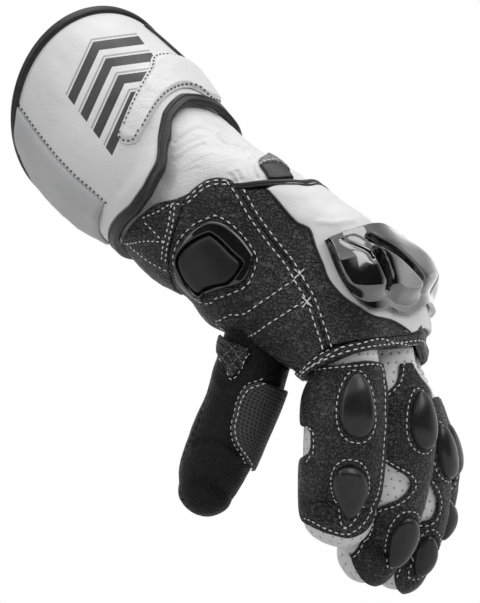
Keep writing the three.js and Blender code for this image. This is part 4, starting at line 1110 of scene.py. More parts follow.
# %% Cuff shell
cuff_folds = place_folds(cuff, [(((60, 60), (72, 90), (80, 125)), 3.0, -0.35),
                                (((110, 30), (120, 60), (118, 95)), 4.0, 0.4),
                                (((150, 130), (140, 160), (120, 190)), 2.2, -0.5),
                                (((156, 150), (140, 178), (118, 205)), 2.2, 0.5),
                                (((158, 70), (176, 80), (200, 88)), 2.0, -0.4)], 20)
shell_piece = shell("cuff_leather", cuff, rim_end, lambda v: flap(v, -FLAP_OUT - 0.3),
                    PRINT, "cuff_shell", wall=CUFF_WALL, folds=cuff_folds, lumps=0.3)
AXIS_Z, AXIS_Y = [0, 17, 29, 46], [5, 14, 22, 36]    # the cuff's middle line, from the side
near = shell_piece.data.attributes.new("near_side", "FLOAT", "POINT")
spots = np.empty(len(shell_piece.data.vertices) * 3)
shell_piece.data.vertices.foreach_get("co", spots)
spots = spots.reshape(-1, 3) * 1000
outer = np.arange(len(spots)) < outside["cuff_leather"]
in_front = spots[:, 1] < np.interp(spots[:, 2], AXIS_Z, AXIS_Y)
near.data.foreach_set("value", (outer & in_front).astype(float))
print("share of the shell that can carry the print:", round(float((outer & in_front).mean()), 2))

# %% [markdown]
# ### Bindings
# A binding is a strip of leather folded over an edge. It is a pillow that runs all round the
# limb, from under the wall to over it, and the flap's one has a groove where it is sewn down.

# %% Bindings
def strip(start, wide):
    """A band on the cuff from start(v), wide millimetres along it."""
    def place(s, t):
        u = start(t) + s * wide / per_row(cuff, start(t) + 0.1, t)
        return np.stack([u, t], axis=-1)
    return place


rim = panel("cuff_rim_roll", cuff, strip(lambda v: 0 * v, RIM_WIDE), BINDING,
            "cuff_rim_binding", low=-CUFF_WALL - 0.3, mid=-0.9, top=1.5, roll=1.7, step=0.7,
            round_it=True, lumps=0.08)
SEWN_DEEP, SEWN_AT, SEWN_HALF = 0.6, 0.34, 0.04         # the groove of the flap's binding
flap_groove = lambda s, t, base: -SEWN_DEEP * np.exp(-((s - SEWN_AT) / SEWN_HALF)**2)
flap_roll = panel("cuff_flap_roll", cuff, strip(lambda v: flap(v, -FLAP_OUT), FLAP_WIDE),
                  BINDING, "cuff_flap_binding", low=-CUFF_WALL, mid=-0.8, top=1.3, roll=1.3,
                  step=0.6, round_it=True, relief=flap_groove, lumps=0.1)
print("cuff pieces:", sorted(made))

# %% [markdown]
# ### Channel and stretch panel
# The channel is padded leather between two rows of holes, so it bulges like a quilt. The
# stretch panel is sewn in with the same bulge along its seam. Both are padded pieces, and
# their bulge is a height that grows with the distance from the seam.

# %% Channel
upper = joined(on(cuff, (118, 136), (131, 103), (148, 70), (157, 54)), at((1.0, 0.3)))
lower = joined(on(cuff, (140, 139), (156, 110), (171, 94), (191, 89), (214, 102)),
               at((1.9, 0.3)))
upper, lower = evenly(cuff, upper, 60), evenly(cuff, lower, 60)
QUILT_RISE, QUILT_FROM, QUILT_OVER = 1.9, 1.0, 2.6
DIP, DIP_OVER, QUILT_LUMP = 0.5, 1.2, 3.5


def quilt(s, t, base):
    """A bulge that starts at the seam with a small dip."""
    over = run(base, 1)
    edge = np.minimum(np.minimum(over, over[:, -1:] - over), run(base, 0))
    bulge = QUILT_RISE * smooth((edge - QUILT_FROM) / QUILT_OVER) - DIP * smooth(edge / DIP_OVER)
    return bulge + 0.15 * noise(base, QUILT_LUMP, 9)


rounded = joined(upper[:1], on(cuff, (122, 143), (129, 145), (137, 143)), lower[:1])
channel = panel("cuff_quilted_channel", cuff,
                coons(cuff, rounded, joined(upper[-1:], lower[-1:]), upper, lower), WHITE_SOFT,
                "cuff_channel", step=0.6, top=1.3, roll=1.2, relief=quilt)
print("channel faces:", made["cuff_quilted_channel"])

# %% Stretch panel and piping
stretch_top = joined(at((0.12, -0.085)), on(cuff, (60, 162), (85, 186), (105, 204)))
stretch_low = at((0.2, -0.3), (0.9, -0.3), (1.6, -0.3), (2.3, -0.28))
ROLL_RISE, ROLL_AT, ROLL_WIDE = 1.9, 0.2, 0.13       # the bulge, as shares of the panel
stretch = panel("cuff_stretch_cloth", cuff, between(stretch_top, stretch_low, cuff), STRETCH,
                "cuff_stretch_panel", top=1.7, roll=3.0,
                relief=lambda s, t, base: ROLL_RISE * np.exp(-((t - ROLL_AT) / ROLL_WIDE)**2)
                + 0.25 * noise(base, 5, 11))
on_cuff = ("cuff_leather", "cuff_quilted_channel", "cuff_stretch_cloth")
fold_line = on(cuff, (151, 28), (165, 41), (180, 56), (194, 70))
panel("cuff_edge_piping", cuff,
      between(beside(cuff, fold_line, -0.9), beside(cuff, fold_line, 0.9), cuff), BINDING,
      low=0.2, top=1.4, roll=0.7, step=0.6, lumps=0.0)
rounded_end = on(cuff, (120, 133), (121, 139), (128, 142), (135, 140), (139, 133))
holes = [(cuff, line, on_cuff)
         for line in (beside(cuff, upper, 1.2)[3:], beside(cuff, lower, -1.2)[3:], rounded_end,
                      beside(cuff, stretch_top, -1.0))]
sew("cuff_stitches", holes, DARK_THREAD, pitch=2.4, length=1.3, thick=0.8)
print("stretch panel faces:", made["cuff_stretch_cloth"])

# %% [markdown]
# ## The wrist
# The leather under the flap gathers at the wrist: folds run from the strap up into the cuff.
# Each fold is a line with a width and a height, and sinks or lifts the skin round it. A cloth
# simulation would gather it in folds of its own, not in the ones that show.

# %% Wrist leather
strap_px = [(305, 187), (282, 185), (265, 185), (248, 186.5), (236, 187.5), (218, 185), (205, 191),
            (187, 200), (166, 208), (146, 222)]
strap_places = joined(at((3.35, 0.218)), on(hand, *strap_px), at((1.5, -0.206)))
strap_edge = all_round(strap_places)


def strap(v, away):
    return strap_edge(v) + away / per_row(hand, strap_edge(v), v)


wrist_folds = [
    # places, depth
    (((175, 144), (185, 137), (196, 131), (208, 131), (219, 135)), 0.5),
    (((219, 135), (232, 140), (248, 150)), 0.9), (((218, 126), (230, 131), (240, 137)), 0.7),
    (((217, 137), (223, 143), (229, 145)), 0.8), (((235, 146), (244, 148), (246, 154)), 0.7),
    (((175, 161), (188, 152), (204, 145)), 0.5), (((176, 152), (190, 144), (206, 138)), 0.3),
    (((178, 173), (194, 164), (212, 156)), 0.25), (((172, 179), (184, 173), (198, 168)), 0.25),
    (((250, 160), (253, 170), (257, 178)), 0.7), (((231, 175), (233, 178), (235, 182)), 0.6),
    (((237, 172), (239, 176), (241, 180)), 0.6), (((222, 118), (234, 123), (244, 131)), 0.4),
]
far_folds = [
    # places on the far side, depth
    (((0.6, 0.45), (1.6, 0.5), (2.6, 0.52)), 0.8), (((0.8, 0.6), (1.7, 0.62), (2.4, 0.6)), 0.7),
    (((0.8, 0.38), (1.8, 0.36), (2.9, 0.38)), 0.7),
    (((0.6, 0.72), (1.2, 0.74), (1.7, 0.76)), 0.6)]
FOLD_WIDE, FAR_FOLD_WIDE = 0.8, 1.5
SWELL_WIDE, SWELL_AWAY, SWELL_SHARE = 1.6, -4, 0.6       # the swell beside each fold
folds = []
for line, depth in wrist_folds:
    beside_it = [(px, py + SWELL_AWAY) for px, py in line]
    folds += place_folds(hand, [(line, FOLD_WIDE, -depth),
                                (beside_it, SWELL_WIDE, depth * SWELL_SHARE)])
for line, depth in far_folds:
    folds.append((hand.point(*evenly(hand, at(*line), 24).T), FAR_FOLD_WIDE, -depth))


def signed(v):
    """A turn from -0.5 to 0.5, so that 0 is in front."""
    return (v + 0.5) % 1.0 - 0.5


BULGE, BULGE_TO, BULGE_OVER = 1.6, 1.5, 0.7              # height, last row, and its slope
BULGE_TURNS, TURN_OVER = (-0.02, 0.34), 0.06


def under_flap(u, v, base):
    """The leather bulges a little where it comes out from under the flap."""
    turn = signed(v)
    across = (smooth((turn - BULGE_TURNS[0]) / TURN_OVER)
              * smooth((BULGE_TURNS[1] - turn) / TURN_OVER))
    return BULGE * smooth((BULGE_TO - u) / BULGE_OVER) * across


wrist = shell("wrist_leather", hand, lambda v: np.full_like(v, 0.27), lambda v: strap(v, -0.3),
              WHITE_SOFT, "wrist_thumb_side", step=0.6, folds=folds, lumps=0.35, relief=under_flap)
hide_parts("wrist_little_side")
print("wrist folds:", len(folds))

# %% [markdown]
# ### Band and pull tab
# A narrow band of smooth leather closes the wrist and runs all round it. On the back it ends
# in a pull tab with a pale cap, which is two small pillows on top of each other.

# %% Band and pull tab
BAND_WIDE, SEAM_PLACE = 5.0, 0.055
BAND_GROOVE, GROOVE_AT, GROOVE_HALF, TUCKED = 0.8, 0.62, 0.07, 1.7


def band_relief(s, t, base):
    """A groove along the band, and a thinner part that goes under the palm's leather."""
    turn = signed(t)
    covered = smooth((SEAM_PLACE - turn) / 0.012) * smooth((turn + 0.3) / 0.03)
    return -BAND_GROOVE * np.exp(-((s - GROOVE_AT) / GROOVE_HALF)**2) - TUCKED * covered


wrist_band = panel("wrist_band", hand,
                   lambda s, t: np.stack([strap(t, (s - 0.5) * BAND_WIDE), t], axis=-1), BINDING,
                   "wrist_strap", top=2.3, roll=0.9, step=0.6, round_it=True,
                   relief=band_relief)
tab_top = on(hand, (259, 167), (268, 165), (278, 165), (284, 170))
tab_low = on(hand, (268, 181), (278, 181), (288, 180), (293, 180))
pull = panel("wrist_pull_tab", hand, between(tab_top, tab_low, hand), BINDING, "wrist_tab",
             top=1.8, roll=0.9, step=0.6)
cap_top = on(hand, (258, 162), (265, 158), (275, 157), (283, 162))
cap_low = on(hand, (260, 168), (268, 166), (278, 166), (289, 174))
panel("wrist_pull_cap", hand, between(cap_top, cap_low, hand), GRAY_LEATHER, low=0.6, top=2.3,
      roll=0.8, step=0.5)
print("pieces so far:", len(made))

# %% [markdown]
# ## The hand
# The hand's black shell carries the panels. It is open at the wrist and at the fingers' roots,
# where a stitched hem goes round it. The hem is a pillow that runs all round.

# %% Hand shell and hem
HEM_WIDE = 5.2
hem_u = lambda v, away: hand.end - away / per_row(hand, np.full_like(v, hand.end - 0.3), v)
palm_skin = shell("hand_leather", hand, lambda v: strap(v, 0.3), lambda v: hem_u(v, 0.2), BLACK,
                  step=1.1, lumps=0.35)
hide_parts("hand_back_near", "hand_back_far", "hand_palm_near", "hand_palm_far")
hem = panel("hem_leather", hand,
            lambda s, t: np.stack([hem_u(t, HEM_WIDE * (1 - s)), t], axis=-1), BLACK,
            "knuckle_hem", roll=1.0, step=0.7, round_it=True)
print("hem faces:", made["hem_leather"])

# %% [markdown]
# ### The palm's panel
# The seam between the palm's panel and the side's runs from the wrist down to the index
# finger, with a row of stitches on each side of it. Two ribs cross the ball of the thumb, and
# a seam goes round the slider: each pulls a groove into the leather, which swells between.

# %% Palm panel
seam = on(hand, (232, 182), (252, 213), (274, 244), (297, 276), (310, 298), (318, 320),
          (327, 347))
seam_left, seam_right = beside(hand, seam, -1.9), beside(hand, seam, 1.9)
rib_one = on(hand, (294, 281), (270, 297), (248, 311), (232, 312), (218, 318))
rib_two = on(hand, (303, 303), (276, 320), (254, 333), (238, 332), (226, 341))
thenar_corner = on(hand, (187, 196), (182, 214))
thenar_left = joined(thenar_corner, at((2.62, -0.17), (3.1, -0.235), (4.2, -0.22), (5.2, -0.17),
                                       (6.2, -0.15), (7.5, -0.15)))
thenar_top = joined(thenar_corner[:1], on(hand, (201, 184), (213, 179), (225, 179.5)), seam[:1])
thenar_right = beside(hand, seam, -0.25)
thenar_low = joined(thenar_left[-1:], on(hand, (262, 352), (292, 365), (310, 362)),
                    thenar_right[-1:])
palm_folds = place_folds(hand, [
    (((262, 312), (282, 300), (300, 290)), 1.6, 0.5),
    (((262, 345), (285, 330), (306, 318)), 1.8, 0.5),
    (((270, 356), (292, 340), (312, 330)), 1.6, -0.5),
    (((236, 320), (250, 322), (268, 316)), 1.6, 0.6),
    (((262, 262), (272, 280), (268, 300)), 1.8, -0.4),
    (((225, 200), (240, 212), (248, 228)), 2.0, -0.4)])
slider_seam = on(hand, (216, 216), (199, 223), (188, 232), (177, 249), (178, 268), (190, 288),
                 (209, 302), (218, 297), (234, 292), (248, 285), (255, 270), (257, 257),
                 (245, 238), (225, 220), (216, 216))
thenar_seams = [seam_left, rib_one, rib_two, slider_seam]
thenar = panel("thenar_leather", hand,
               coons(hand, thenar_top, thenar_low, thenar_left, thenar_right), BLACK,
               "thenar_panel", step=0.75, top=2.2, seams=thenar_seams,
               folds=palm_folds, lumps=0.3, groove=0.6)
print("the palm's panel has", made["thenar_leather"], "faces and", len(thenar_seams), "seams")

# %% [markdown]
# ### Side and back
# The side's panel lies between the double seam and a thin piping; past that the back of the
# hand is white. The piping is a cord in a fold of leather, so it is a narrow, high pillow.

# %% Side of the hand
border_px = [(265, 190), (283, 209), (299, 225), (309, 230), (316, 249), (323, 266), (329, 281),
             (342, 297), (358, 309), (371, 317), (388, 321), (399, 327), (407, 333)]
border = joined(on(hand, *border_px), at((7.5, 0.2)))
side_left = joined(beside(hand, seam, 0.25), at((7.72, 0.02), (7.76, 0.10), (7.76, 0.2)))
side_top = joined(side_left[:1], on(hand, (248, 190.5)), border[:1])
side_low = joined(side_left[-1:], border[-1:])
side_folds = place_folds(hand, [(((300, 240), (306, 262), (316, 284)), 2.0, 0.4),
                                (((330, 300), (345, 318), (368, 330)), 2.5, -0.4),
                                (((336, 318), (352, 332), (380, 338)), 2.2, 0.5)])
side = panel("side_leather", hand, coons(hand, side_top, side_low, side_left, border), BLACK,
             "side_panel", seams=[seam_right], lumps=0.25,
             folds=side_folds, groove=0.6)
edge_line = on(hand, *border_px)
panel("side_piping", hand,
      between(beside(hand, edge_line, -0.7), beside(hand, edge_line, 0.6), hand), BINDING,
      low=0.4, top=2.3, roll=0.6, step=0.5, lumps=0.0)
print("side panel faces:", made["side_leather"])

# %% Back of the hand
back_left = beside(hand, border, 0.3)
back_right = at((3.45, 0.44), (4.5, 0.44), (5.5, 0.44), (6.3, 0.44), (7.1, 0.44))
back_top = joined(back_left[:1], at((3.5, 0.2), (3.5, 0.32)), back_right[:1])
back_low = joined(back_left[-1:], at((7.45, 0.3)), back_right[-1:])
back_folds = place_folds(hand, [(((318, 224), (334, 225), (350, 223)), 1.2, 0.6),
                                (((300, 200), (320, 205), (345, 215)), 4.0, -0.3)])
back = panel("back_leather", hand, coons(hand, back_top, back_low, back_left, back_right), WHITE,
             "back_panel", step=0.9, top=1.8, folds=back_folds, lumps=0.3)
print("back panel faces:", made["back_leather"])

# %% [markdown]
# ### Hard buttons
# The slider's plate and the finger pads are moulded, so they are built another way: rings of
# places from the middle to a rim, with a height for each. A pad doesn't bend where the finger
# does. So it stands on a smooth surface that is fitted to the skin under it.

# %% Domes
DOME_SHARES = np.concatenate([np.linspace(0.07, 0.88, 9), [0.93, 0.965, 0.985, 0.996, 1.0]])
DOME_SIDES = 64


def rim_of(limb, middle_place, places, high):
    """The rim of a round piece as steps from its middle, for each turn from 0 to 1."""
    middle_uv = on(limb, middle_place)[0]
    return middle_uv, closed_curve(lifted(limb, high, *places) - middle_uv)


def closed_curve(loop):
    """A smooth closed curve through a loop of places, for each turn from 0 to 1."""
    wrapped = joined(loop[-2:], loop, loop[:3])
    return lambda turn: curve_through(wrapped, (turn % 1.0) * len(loop) + 2)


def dome(name, limb, middle_uv, rim_steps, material, node, low, height, stiff=False):
    """A hard button: height(share) is its top over the skin, share 1 at its rim.
    A stiff one bridges the creases under it."""
    sides = DOME_SIDES
    share, turn = np.meshgrid(DOME_SHARES, np.arange(sides) / sides, indexing="ij")
    uv = middle_uv + rim_steps(turn) * share[..., None]
    top = limb.point(uv[..., 0], uv[..., 1], height(share))
    bottom = limb.point(uv[-1, :, 0], uv[-1, :, 1], np.full(sides, low))
    base = limb.point(uv[..., 0], uv[..., 1])
    crown = limb.point(*middle_uv, height(np.zeros(1))).reshape(1, 3)
    if stiff:
        a, b = share * np.cos(2 * np.pi * turn), share * np.sin(2 * np.pi * turn)
        zero, one = np.zeros_like(a), np.ones_like(a)
        terms = np.stack([one, a, b, a * a, a * b, b * b], axis=-1)
        fit = np.linalg.lstsq(terms.reshape(-1, 6), base.reshape(-1, 3), rcond=None)[0]
        out = np.cross(np.stack([zero, one, zero, 2 * a, b, zero], axis=-1) @ fit,
                       np.stack([zero, zero, one, zero, a, 2 * b], axis=-1) @ fit)
        out /= np.linalg.norm(out, axis=-1, keepdims=True)
        out *= np.sign((out * (top - base)).sum())
        top = terms @ fit + out * height(share)[..., None]
        crown = (fit[0] + out[0].mean(axis=0) * height(np.zeros(1))).reshape(1, 3)
    n = share.size
    under = limb.point(*middle_uv, low).reshape(1, 3)
    corners = np.concatenate([top.reshape(-1, 3), bottom, crown, under])
    k = np.arange(sides)
    nxt, last = (k + 1) % sides, n - sides
    quads = np.concatenate([quads_of(0, len(share), sides, True),
                            np.stack([last + k, n + k, n + nxt, last + nxt], axis=1)])
    tris = ([(n + sides, i, j) for i, j in zip(k, nxt)]
            + [(n + sides + 1, n + j, n + i) for i, j in zip(k, nxt)])
    return keep(name, corners, quads, material, node, others=tris)


print("rings and sides of a dome:", len(DOME_SHARES), DOME_SIDES)

# %% [markdown]
# ### Slider
# The palm slider is a hard, dull plate in a glossy ring. The plate is a dome with a flat top.
# The ring is a pillow between the plate's rim and an outer one, both traced from the front.

# %% Slider
plate_px = [(206, 236), (214, 238), (230, 253), (240, 263), (237, 272), (227, 283), (214, 286),
            (204, 289), (196, 294), (184, 281), (177, 264), (185, 249)]
ring_px = [(203, 223), (220, 222), (240, 236), (253, 253), (252, 267), (245, 280), (226, 288),
           (207, 294), (198, 301), (180, 286), (174, 264), (181, 242)]
PLATE_HIGH, RING_HIGH = 5.0, 3.5         # where the two rims show
PLATE_LOW, PLATE_RISE, PLATE_FLAT = 2.3, 3.3, 18
RING_INNER = 1.05                        # the ring starts this much outside the plate's rim
slider_at, plate_rim = rim_of(hand, (208, 262), plate_px, PLATE_HIGH)
_, ring_rim = rim_of(hand, (208, 262), ring_px, RING_HIGH)
plate = dome("slider_disc", hand, slider_at, plate_rim, PLATE, "slider_plate", PLATE_LOW,
             lambda share: PLATE_LOW
             + PLATE_RISE * np.sqrt(np.maximum(0.02, 1 - share**PLATE_FLAT)))


def ring_place(s, t):
    s = s[..., None]
    return slider_at + plate_rim(t) * RING_INNER * (1 - s) + ring_rim(t) * s


slider_lip = panel("slider_rim", hand, ring_place, LIP, "slider_ring", low=2.1, mid=2.5, top=4.6,
                   roll=1.5, step=0.55, round_it=True, lumps=0.0,
                   relief=lambda s, t, base: 0.9 * (1 - s) + 0 * t)
print("slider faces:", made["slider_disc"], made["slider_rim"])

# %% [markdown]
# ### Strap end
# The strap that closes the wrist ends in a tab of leather at the heel of the hand, held by
# crossed rows of stitches.

# %% Strap end
strap_left = on(hand, (134, 226), (128, 233), (126, 241))
strap_end_top = on(hand, (134, 226), (147, 213), (160, 204), (175, 200), (188, 199))
strap_end_low = joined(on(hand, (126, 241)), at((1.9, -0.26), (2.3, -0.27), (2.7, -0.235)))
strap_end_right = joined(on(hand, (188, 199), (179, 222)), at((2.62, -0.18), (2.7, -0.235)))
strap_end = panel("strap_end_leather", hand,
                  coons(hand, strap_end_top, strap_end_low, strap_left, strap_end_right), BLACK,
                  "strap_end_tab", top=2.6, roll=1.0, step=0.7, lumps=0.3)
sew("strap_end_stitches", seams_on(
    hand, ("strap_end_leather",),
    [(130, 241), (148, 240), (166, 241)], [(150, 224), (158, 232), (166, 241)],
    [(132, 242), (150, 256), (172, 269)], [(174, 207), (170, 230), (165, 256)],
    [(177, 209), (174, 230), (169, 258)], [(148, 218), (160, 213), (174, 205), (185, 205)]),
    pitch=2.6, length=1.6)
print("strap end faces:", made["strap_end_leather"])

# %% [markdown]
# ### Knuckle armour
# The knuckle armour is one moulded shell of lobes with open slots between them, over a skirt
# that lies on the leather. It could be sculpted. Here its height is a product of simple terms,
# each with a width in millimetres: a crown, a bevel, valleys, slots and a step.

# %% Knuckle armour
ARMOUR_LOW, ARMOUR_SKIN, ARMOUR_HIGH = 2.5, 0.9, 6.6     # its seat, thickness and rise
BEVEL, SKIRT, CROWN, FALL = 3.2, 3.6, 13.0, 8.0          # widths along its edges
SLOT_HALF, SLOT_WALL, SLOT_DEEP = 1.3, 1.1, 0.75
STEP_HALF, STEP_DEEP, VALLEY_WIDE, VALLEY_DEEP = 0.8, 1.1, 2.6, 0.2
LEAST_TOP, LEAST_LEFT = 0.42, 0.15                       # shares of its rise at its edges
EDGE_SHOWS, SLOT_SHOWS, STEP_SHOWS = 3.8, 8.0, 9.0       # heights at which its lines are seen
armour_left = lifted(hand, EDGE_SHOWS, (323, 241), (332, 264), (340, 281), (348, 292), (360, 303))
armour_top = joined(armour_left[:1], at((5.12, 0.085), (5.2, 0.11), (5.3, 0.24), (5.7, 0.4)))
armour_foot = joined(armour_left[-1:],
                     lifted(hand, EDGE_SHOWS, (373, 310), (389, 308), (398, 313)),
                     at((7.3, 0.16), (6.95, 0.27), (6.7, 0.4)))
armour_right = joined(armour_top[-1:], armour_foot[-1:])
slots = [lifted(hand, SLOT_SHOWS, (374, 252), (378, 259), (383, 271), (386, 280), (387, 287)),
         lifted(hand, SLOT_SHOWS, (370, 238), (382, 246), (394, 254), (406, 265), (416, 276),
                (422, 286)),
         at((5.7, 0.25), (6.1, 0.28), (6.6, 0.3))]
inner_step = lifted(hand, STEP_SHOWS, (342, 240), (348, 244), (358, 249), (366, 254), (370, 260))
valleys = [joined(at((5.3, 0.09)), slots[0], at((6.95, 0.085))), joined(slots[1], at((7.2, 0.21))),
           joined(at((5.3, 0.22)), slots[2], at((6.95, 0.3)))]
on_skin = lambda line: hand.point(*evenly(hand, line, 60).T)


def armour_relief(s, t, base):
    """Heights of the armour over its seat, from the distances to its edges and lines."""
    from_left, from_top = run(base, 0), run(base, 1)
    from_foot = from_top[:, -1:] - from_top
    valley = np.exp(-(far_from(base, [on_skin(line) for line in valleys]) / VALLEY_WIDE)**2)
    to_slot = far_from(base, [on_skin(line) for line in slots])
    slot = smooth((SLOT_HALF + SLOT_WALL - to_slot) / SLOT_WALL)
    step = np.exp(-(far_from(base, [on_skin(inner_step)]) / STEP_HALF)**2)
    rise = LEAST_TOP + (1 - LEAST_TOP) * smooth(from_top / CROWN)
    rise = rise * smooth((from_foot - SKIRT - valley) / FALL)
    rise = rise * (LEAST_LEFT + (1 - LEAST_LEFT) * smooth(from_left / BEVEL))
    rise = rise * (1 - VALLEY_DEEP * valley)
    return (ARMOUR_SKIN + ARMOUR_HIGH * rise) * (1 - SLOT_DEEP * slot) - STEP_DEEP * step * rise


knuckles = panel("knuckle_shell", hand,
                 coons(hand, armour_left, armour_right, armour_top, armour_foot), GLOSS,
                 "knuckle_armour", step=0.35, low=ARMOUR_LOW, top=ARMOUR_LOW + 1.3, roll=0.7,
                 relief=armour_relief, lumps=0.0, polish=24)
print("armour faces:", made["knuckle_shell"])

# %% [markdown]
# ### Stitches on the hand
# White thread shows on the black leather: along the double seam, the ribs, the slider's seam
# and the hem. Short bars of thread hold the double seam where it is pulled most.

# %% Stitches on the hand
hem_v = np.linspace(-0.16, 0.26, 40)
hem_line = np.stack([hem_u(hem_v, 1.6), hem_v], axis=1)
PALM = ("thenar_leather", "side_leather", "hand_leather", "hem_leather")
palm_lines = (seam_left, seam_right, rib_one, rib_two, evenly(hand, slider_seam, 60))
sew("hand_stitches", [(hand, line, PALM) for line in palm_lines] + seams_on(
    hand, PALM, [(190, 198), (203, 186), (214, 182), (225, 182)],
    [(191, 202), (204, 190), (215, 185.5), (225, 185.5)],
    [(290, 368), (300, 371), (314, 360), (327, 350)], [(306, 370), (320, 361), (336, 351)],
    [(342, 348), (358, 344), (376, 339), (390, 343), (407, 347), (416, 348)])
    + [(hand, hem_line, PALM)])
sew("bar_tacks", seams_on(
    hand, PALM, [(296, 271), (303, 277)], [(303, 271), (296, 278)], [(304, 299), (311, 306)],
    [(310, 299), (304, 307)]), pitch=1.5, length=2.2, thick=0.6)
sew("tab_stitches", seams_on(hand, ("wrist_pull_cap",), [(260, 166.5), (268, 164.5), (280, 165)]),
    pitch=2.0, length=1.9, thick=0.7)
print("faces of the hand's threads:", made["hand_stitches"])

# %% [markdown]
# ## Fingers
# Each finger is a pocket of punched white leather with a black back sewn over it, which
# carries two hard pads. The index finger shows its whole back, the others a notch between
# their pads. The palm side is black too. All four are made by one function, since only their
# edges, pads and sizes differ.

# %% Finger parts
FINGER_SEAT = 0.9                        # how high the leather on a finger starts
POCKET_START = 0.06                      # row of a finger where its pocket begins
GRIP_FROM, GRIP_TO = 1.4, 0.84           # first row, and share of the length, of the grips
GRIP_LEFT, GRIP_RIGHT = 0.42, 0.64       # turns between which a grip lies
PAD_RISE, PAD_TAPER, PAD_FULL = 0.22, 0.45, 0.95
PAD_SEAT, PAD_WALL, PAD_ROUND = FINGER_SEAT + 1.3, 1.4, 2.3
PAD_EDGE, PAD_EDGE_DROP = 0.1, 0.9       # the part of a pad that its edge takes, and its drop
RIM_STEPS = 48
PLEATS = (1.15, 1.4, 1.65)               # rows of a finger at which pleats cross it
PLEAT_TURNS, PLEAT_WIDE, PLEAT_DEEP = (0.0, 0.4), 0.6, 0.7
RIDGE_OUT, RIDGE_WIDE, RIDGE_HIGH = 0.4, 1.0, 0.9        # the leather's swelling round a pad
WELT_OUT = 2.0                           # how far outside a pad its seam runs
FINGER_THICK = FINGER_SEAT + 1.4         # how high the leather on a finger ends
whole_finger = lambda v: np.full_like(v, POCKET_START)


def drop_rim(limb, ends, wide, point_end, grow=0.0):
    """A drop's rim between two ends: point_end is -1 towards the hand, 1 towards the tip.
    It comes as a loop of places, and as a curve of steps from its middle."""
    middle_uv, half = ends.mean(axis=0), (ends[1] - ends[0]) / 2
    long = np.linalg.norm(np.diff(limb.point(*evenly(limb, ends, 20).T), axis=0), axis=1).sum() / 2
    turn = np.arange(RIM_STEPS) / RIM_STEPS * 2 * np.pi
    c, s = np.cos(turn) * (1 + grow / long), np.sin(turn)
    loop = middle_uv + half * c[:, None]
    u, v = loop.T
    turn_mm = np.linalg.norm(limb.point(u, v + 0.02) - limb.point(u, v - 0.02), axis=1) / 0.04
    narrow = 1 - PAD_TAPER * point_end * np.cos(turn)
    loop[:, 1] += (wide / 2 * PAD_FULL * narrow + grow) * s / turn_mm
    return loop, closed_curve(loop - middle_uv)


def pad_height(share, wide):
    """A pad's top over the skin: a round crown, and an edge that drops over to the leather."""
    crown = PAD_RISE * wide * np.sqrt(np.maximum(0.0, 1 - share**PAD_ROUND))
    over = np.clip((share - 1 + PAD_EDGE) / PAD_EDGE, 0, 1)
    return PAD_SEAT + PAD_WALL + crown - PAD_EDGE_DROP * over**2


def finger(name, limb, back_edges, pads, extra=(), folds=(), pleats=()):
    """A finger's pocket, back, grip, pads and stitches; pads have (top, low, width)."""
    turns = np.linspace(*PLEAT_TURNS, 60)
    pleat_lines = [(limb.point(np.full(60, u), turns), PLEAT_WIDE, -PLEAT_DEEP) for u in pleats]
    skin = shell(f"{name}_leather", limb, whole_finger, None, PUNCHED, f"{name}_upper_half",
                 step=0.8, lumps=0.25, folds=pleat_lines)
    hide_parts(f"{name}_lower_half")
    rims, welts, inner = {}, [], []
    for pad, (top_px, low_px, wide) in pads.items():
        ends = on(limb, top_px, low_px)
        point_end = -1 if pad == "knuckle_pad" else 1
        rims[pad] = (ends.mean(axis=0), wide, drop_rim(limb, ends, wide, point_end)[1])
        inner.append(drop_rim(limb, ends, wide, point_end, grow=RIDGE_OUT)[0])
        welt = drop_rim(limb, ends, wide, point_end, grow=WELT_OUT)[0]
        welts.append(joined(welt, welt[:1]))
    ridge = [(limb.point(*joined(line, line[:1]).T), RIDGE_WIDE, RIDGE_HIGH) for line in inner]
    seams = welts + list(extra)
    back_piece = panel(f"{name}_back_leather", limb, coons(limb, *back_edges), BLACK,
                       f"{name}_back", step=0.7, low=FINGER_SEAT, top=FINGER_SEAT + 1.5,
                       roll=0.8, seams=seams, folds=ridge + place_folds(limb, folds),
                       lumps=0.25, groove=0.4, polish=16)
    rows = np.linspace(GRIP_FROM, limb.reach * GRIP_TO, 6)
    grip_left, grip_right = (at(*[(u, v) for u in rows]) for v in (GRIP_LEFT, GRIP_RIGHT))
    grip = panel(f"{name}_grip_leather", limb, between(grip_left, grip_right, limb), BLACK_SMOOTH,
                 f"{name}_grip", step=1.0, low=FINGER_SEAT, top=FINGER_THICK, roll=0.9)
    for pad, (middle_uv, wide, steps) in rims.items():
        hard = dome(f"{name}_{pad}_cap", limb, middle_uv, steps, PAD, f"{name}_{pad}", PAD_SEAT,
                    lambda share: pad_height(share, wide), stiff=True)
    lines = [(limb, line, (f"{name}_back_leather",)) for line in seams]
    sew(f"{name}_stitches", lines, pitch=2.9, length=1.9, thick=0.55)


print("height of a pad 16 mm wide:", pad_height(np.array([0.0, 0.9, 1.0]), 16).round(2))

# %% [markdown]
# ### Index and middle finger
# These two show most of their backs. Each back is traced from the front between four edges,
# and ends at its right where the limb turns away.

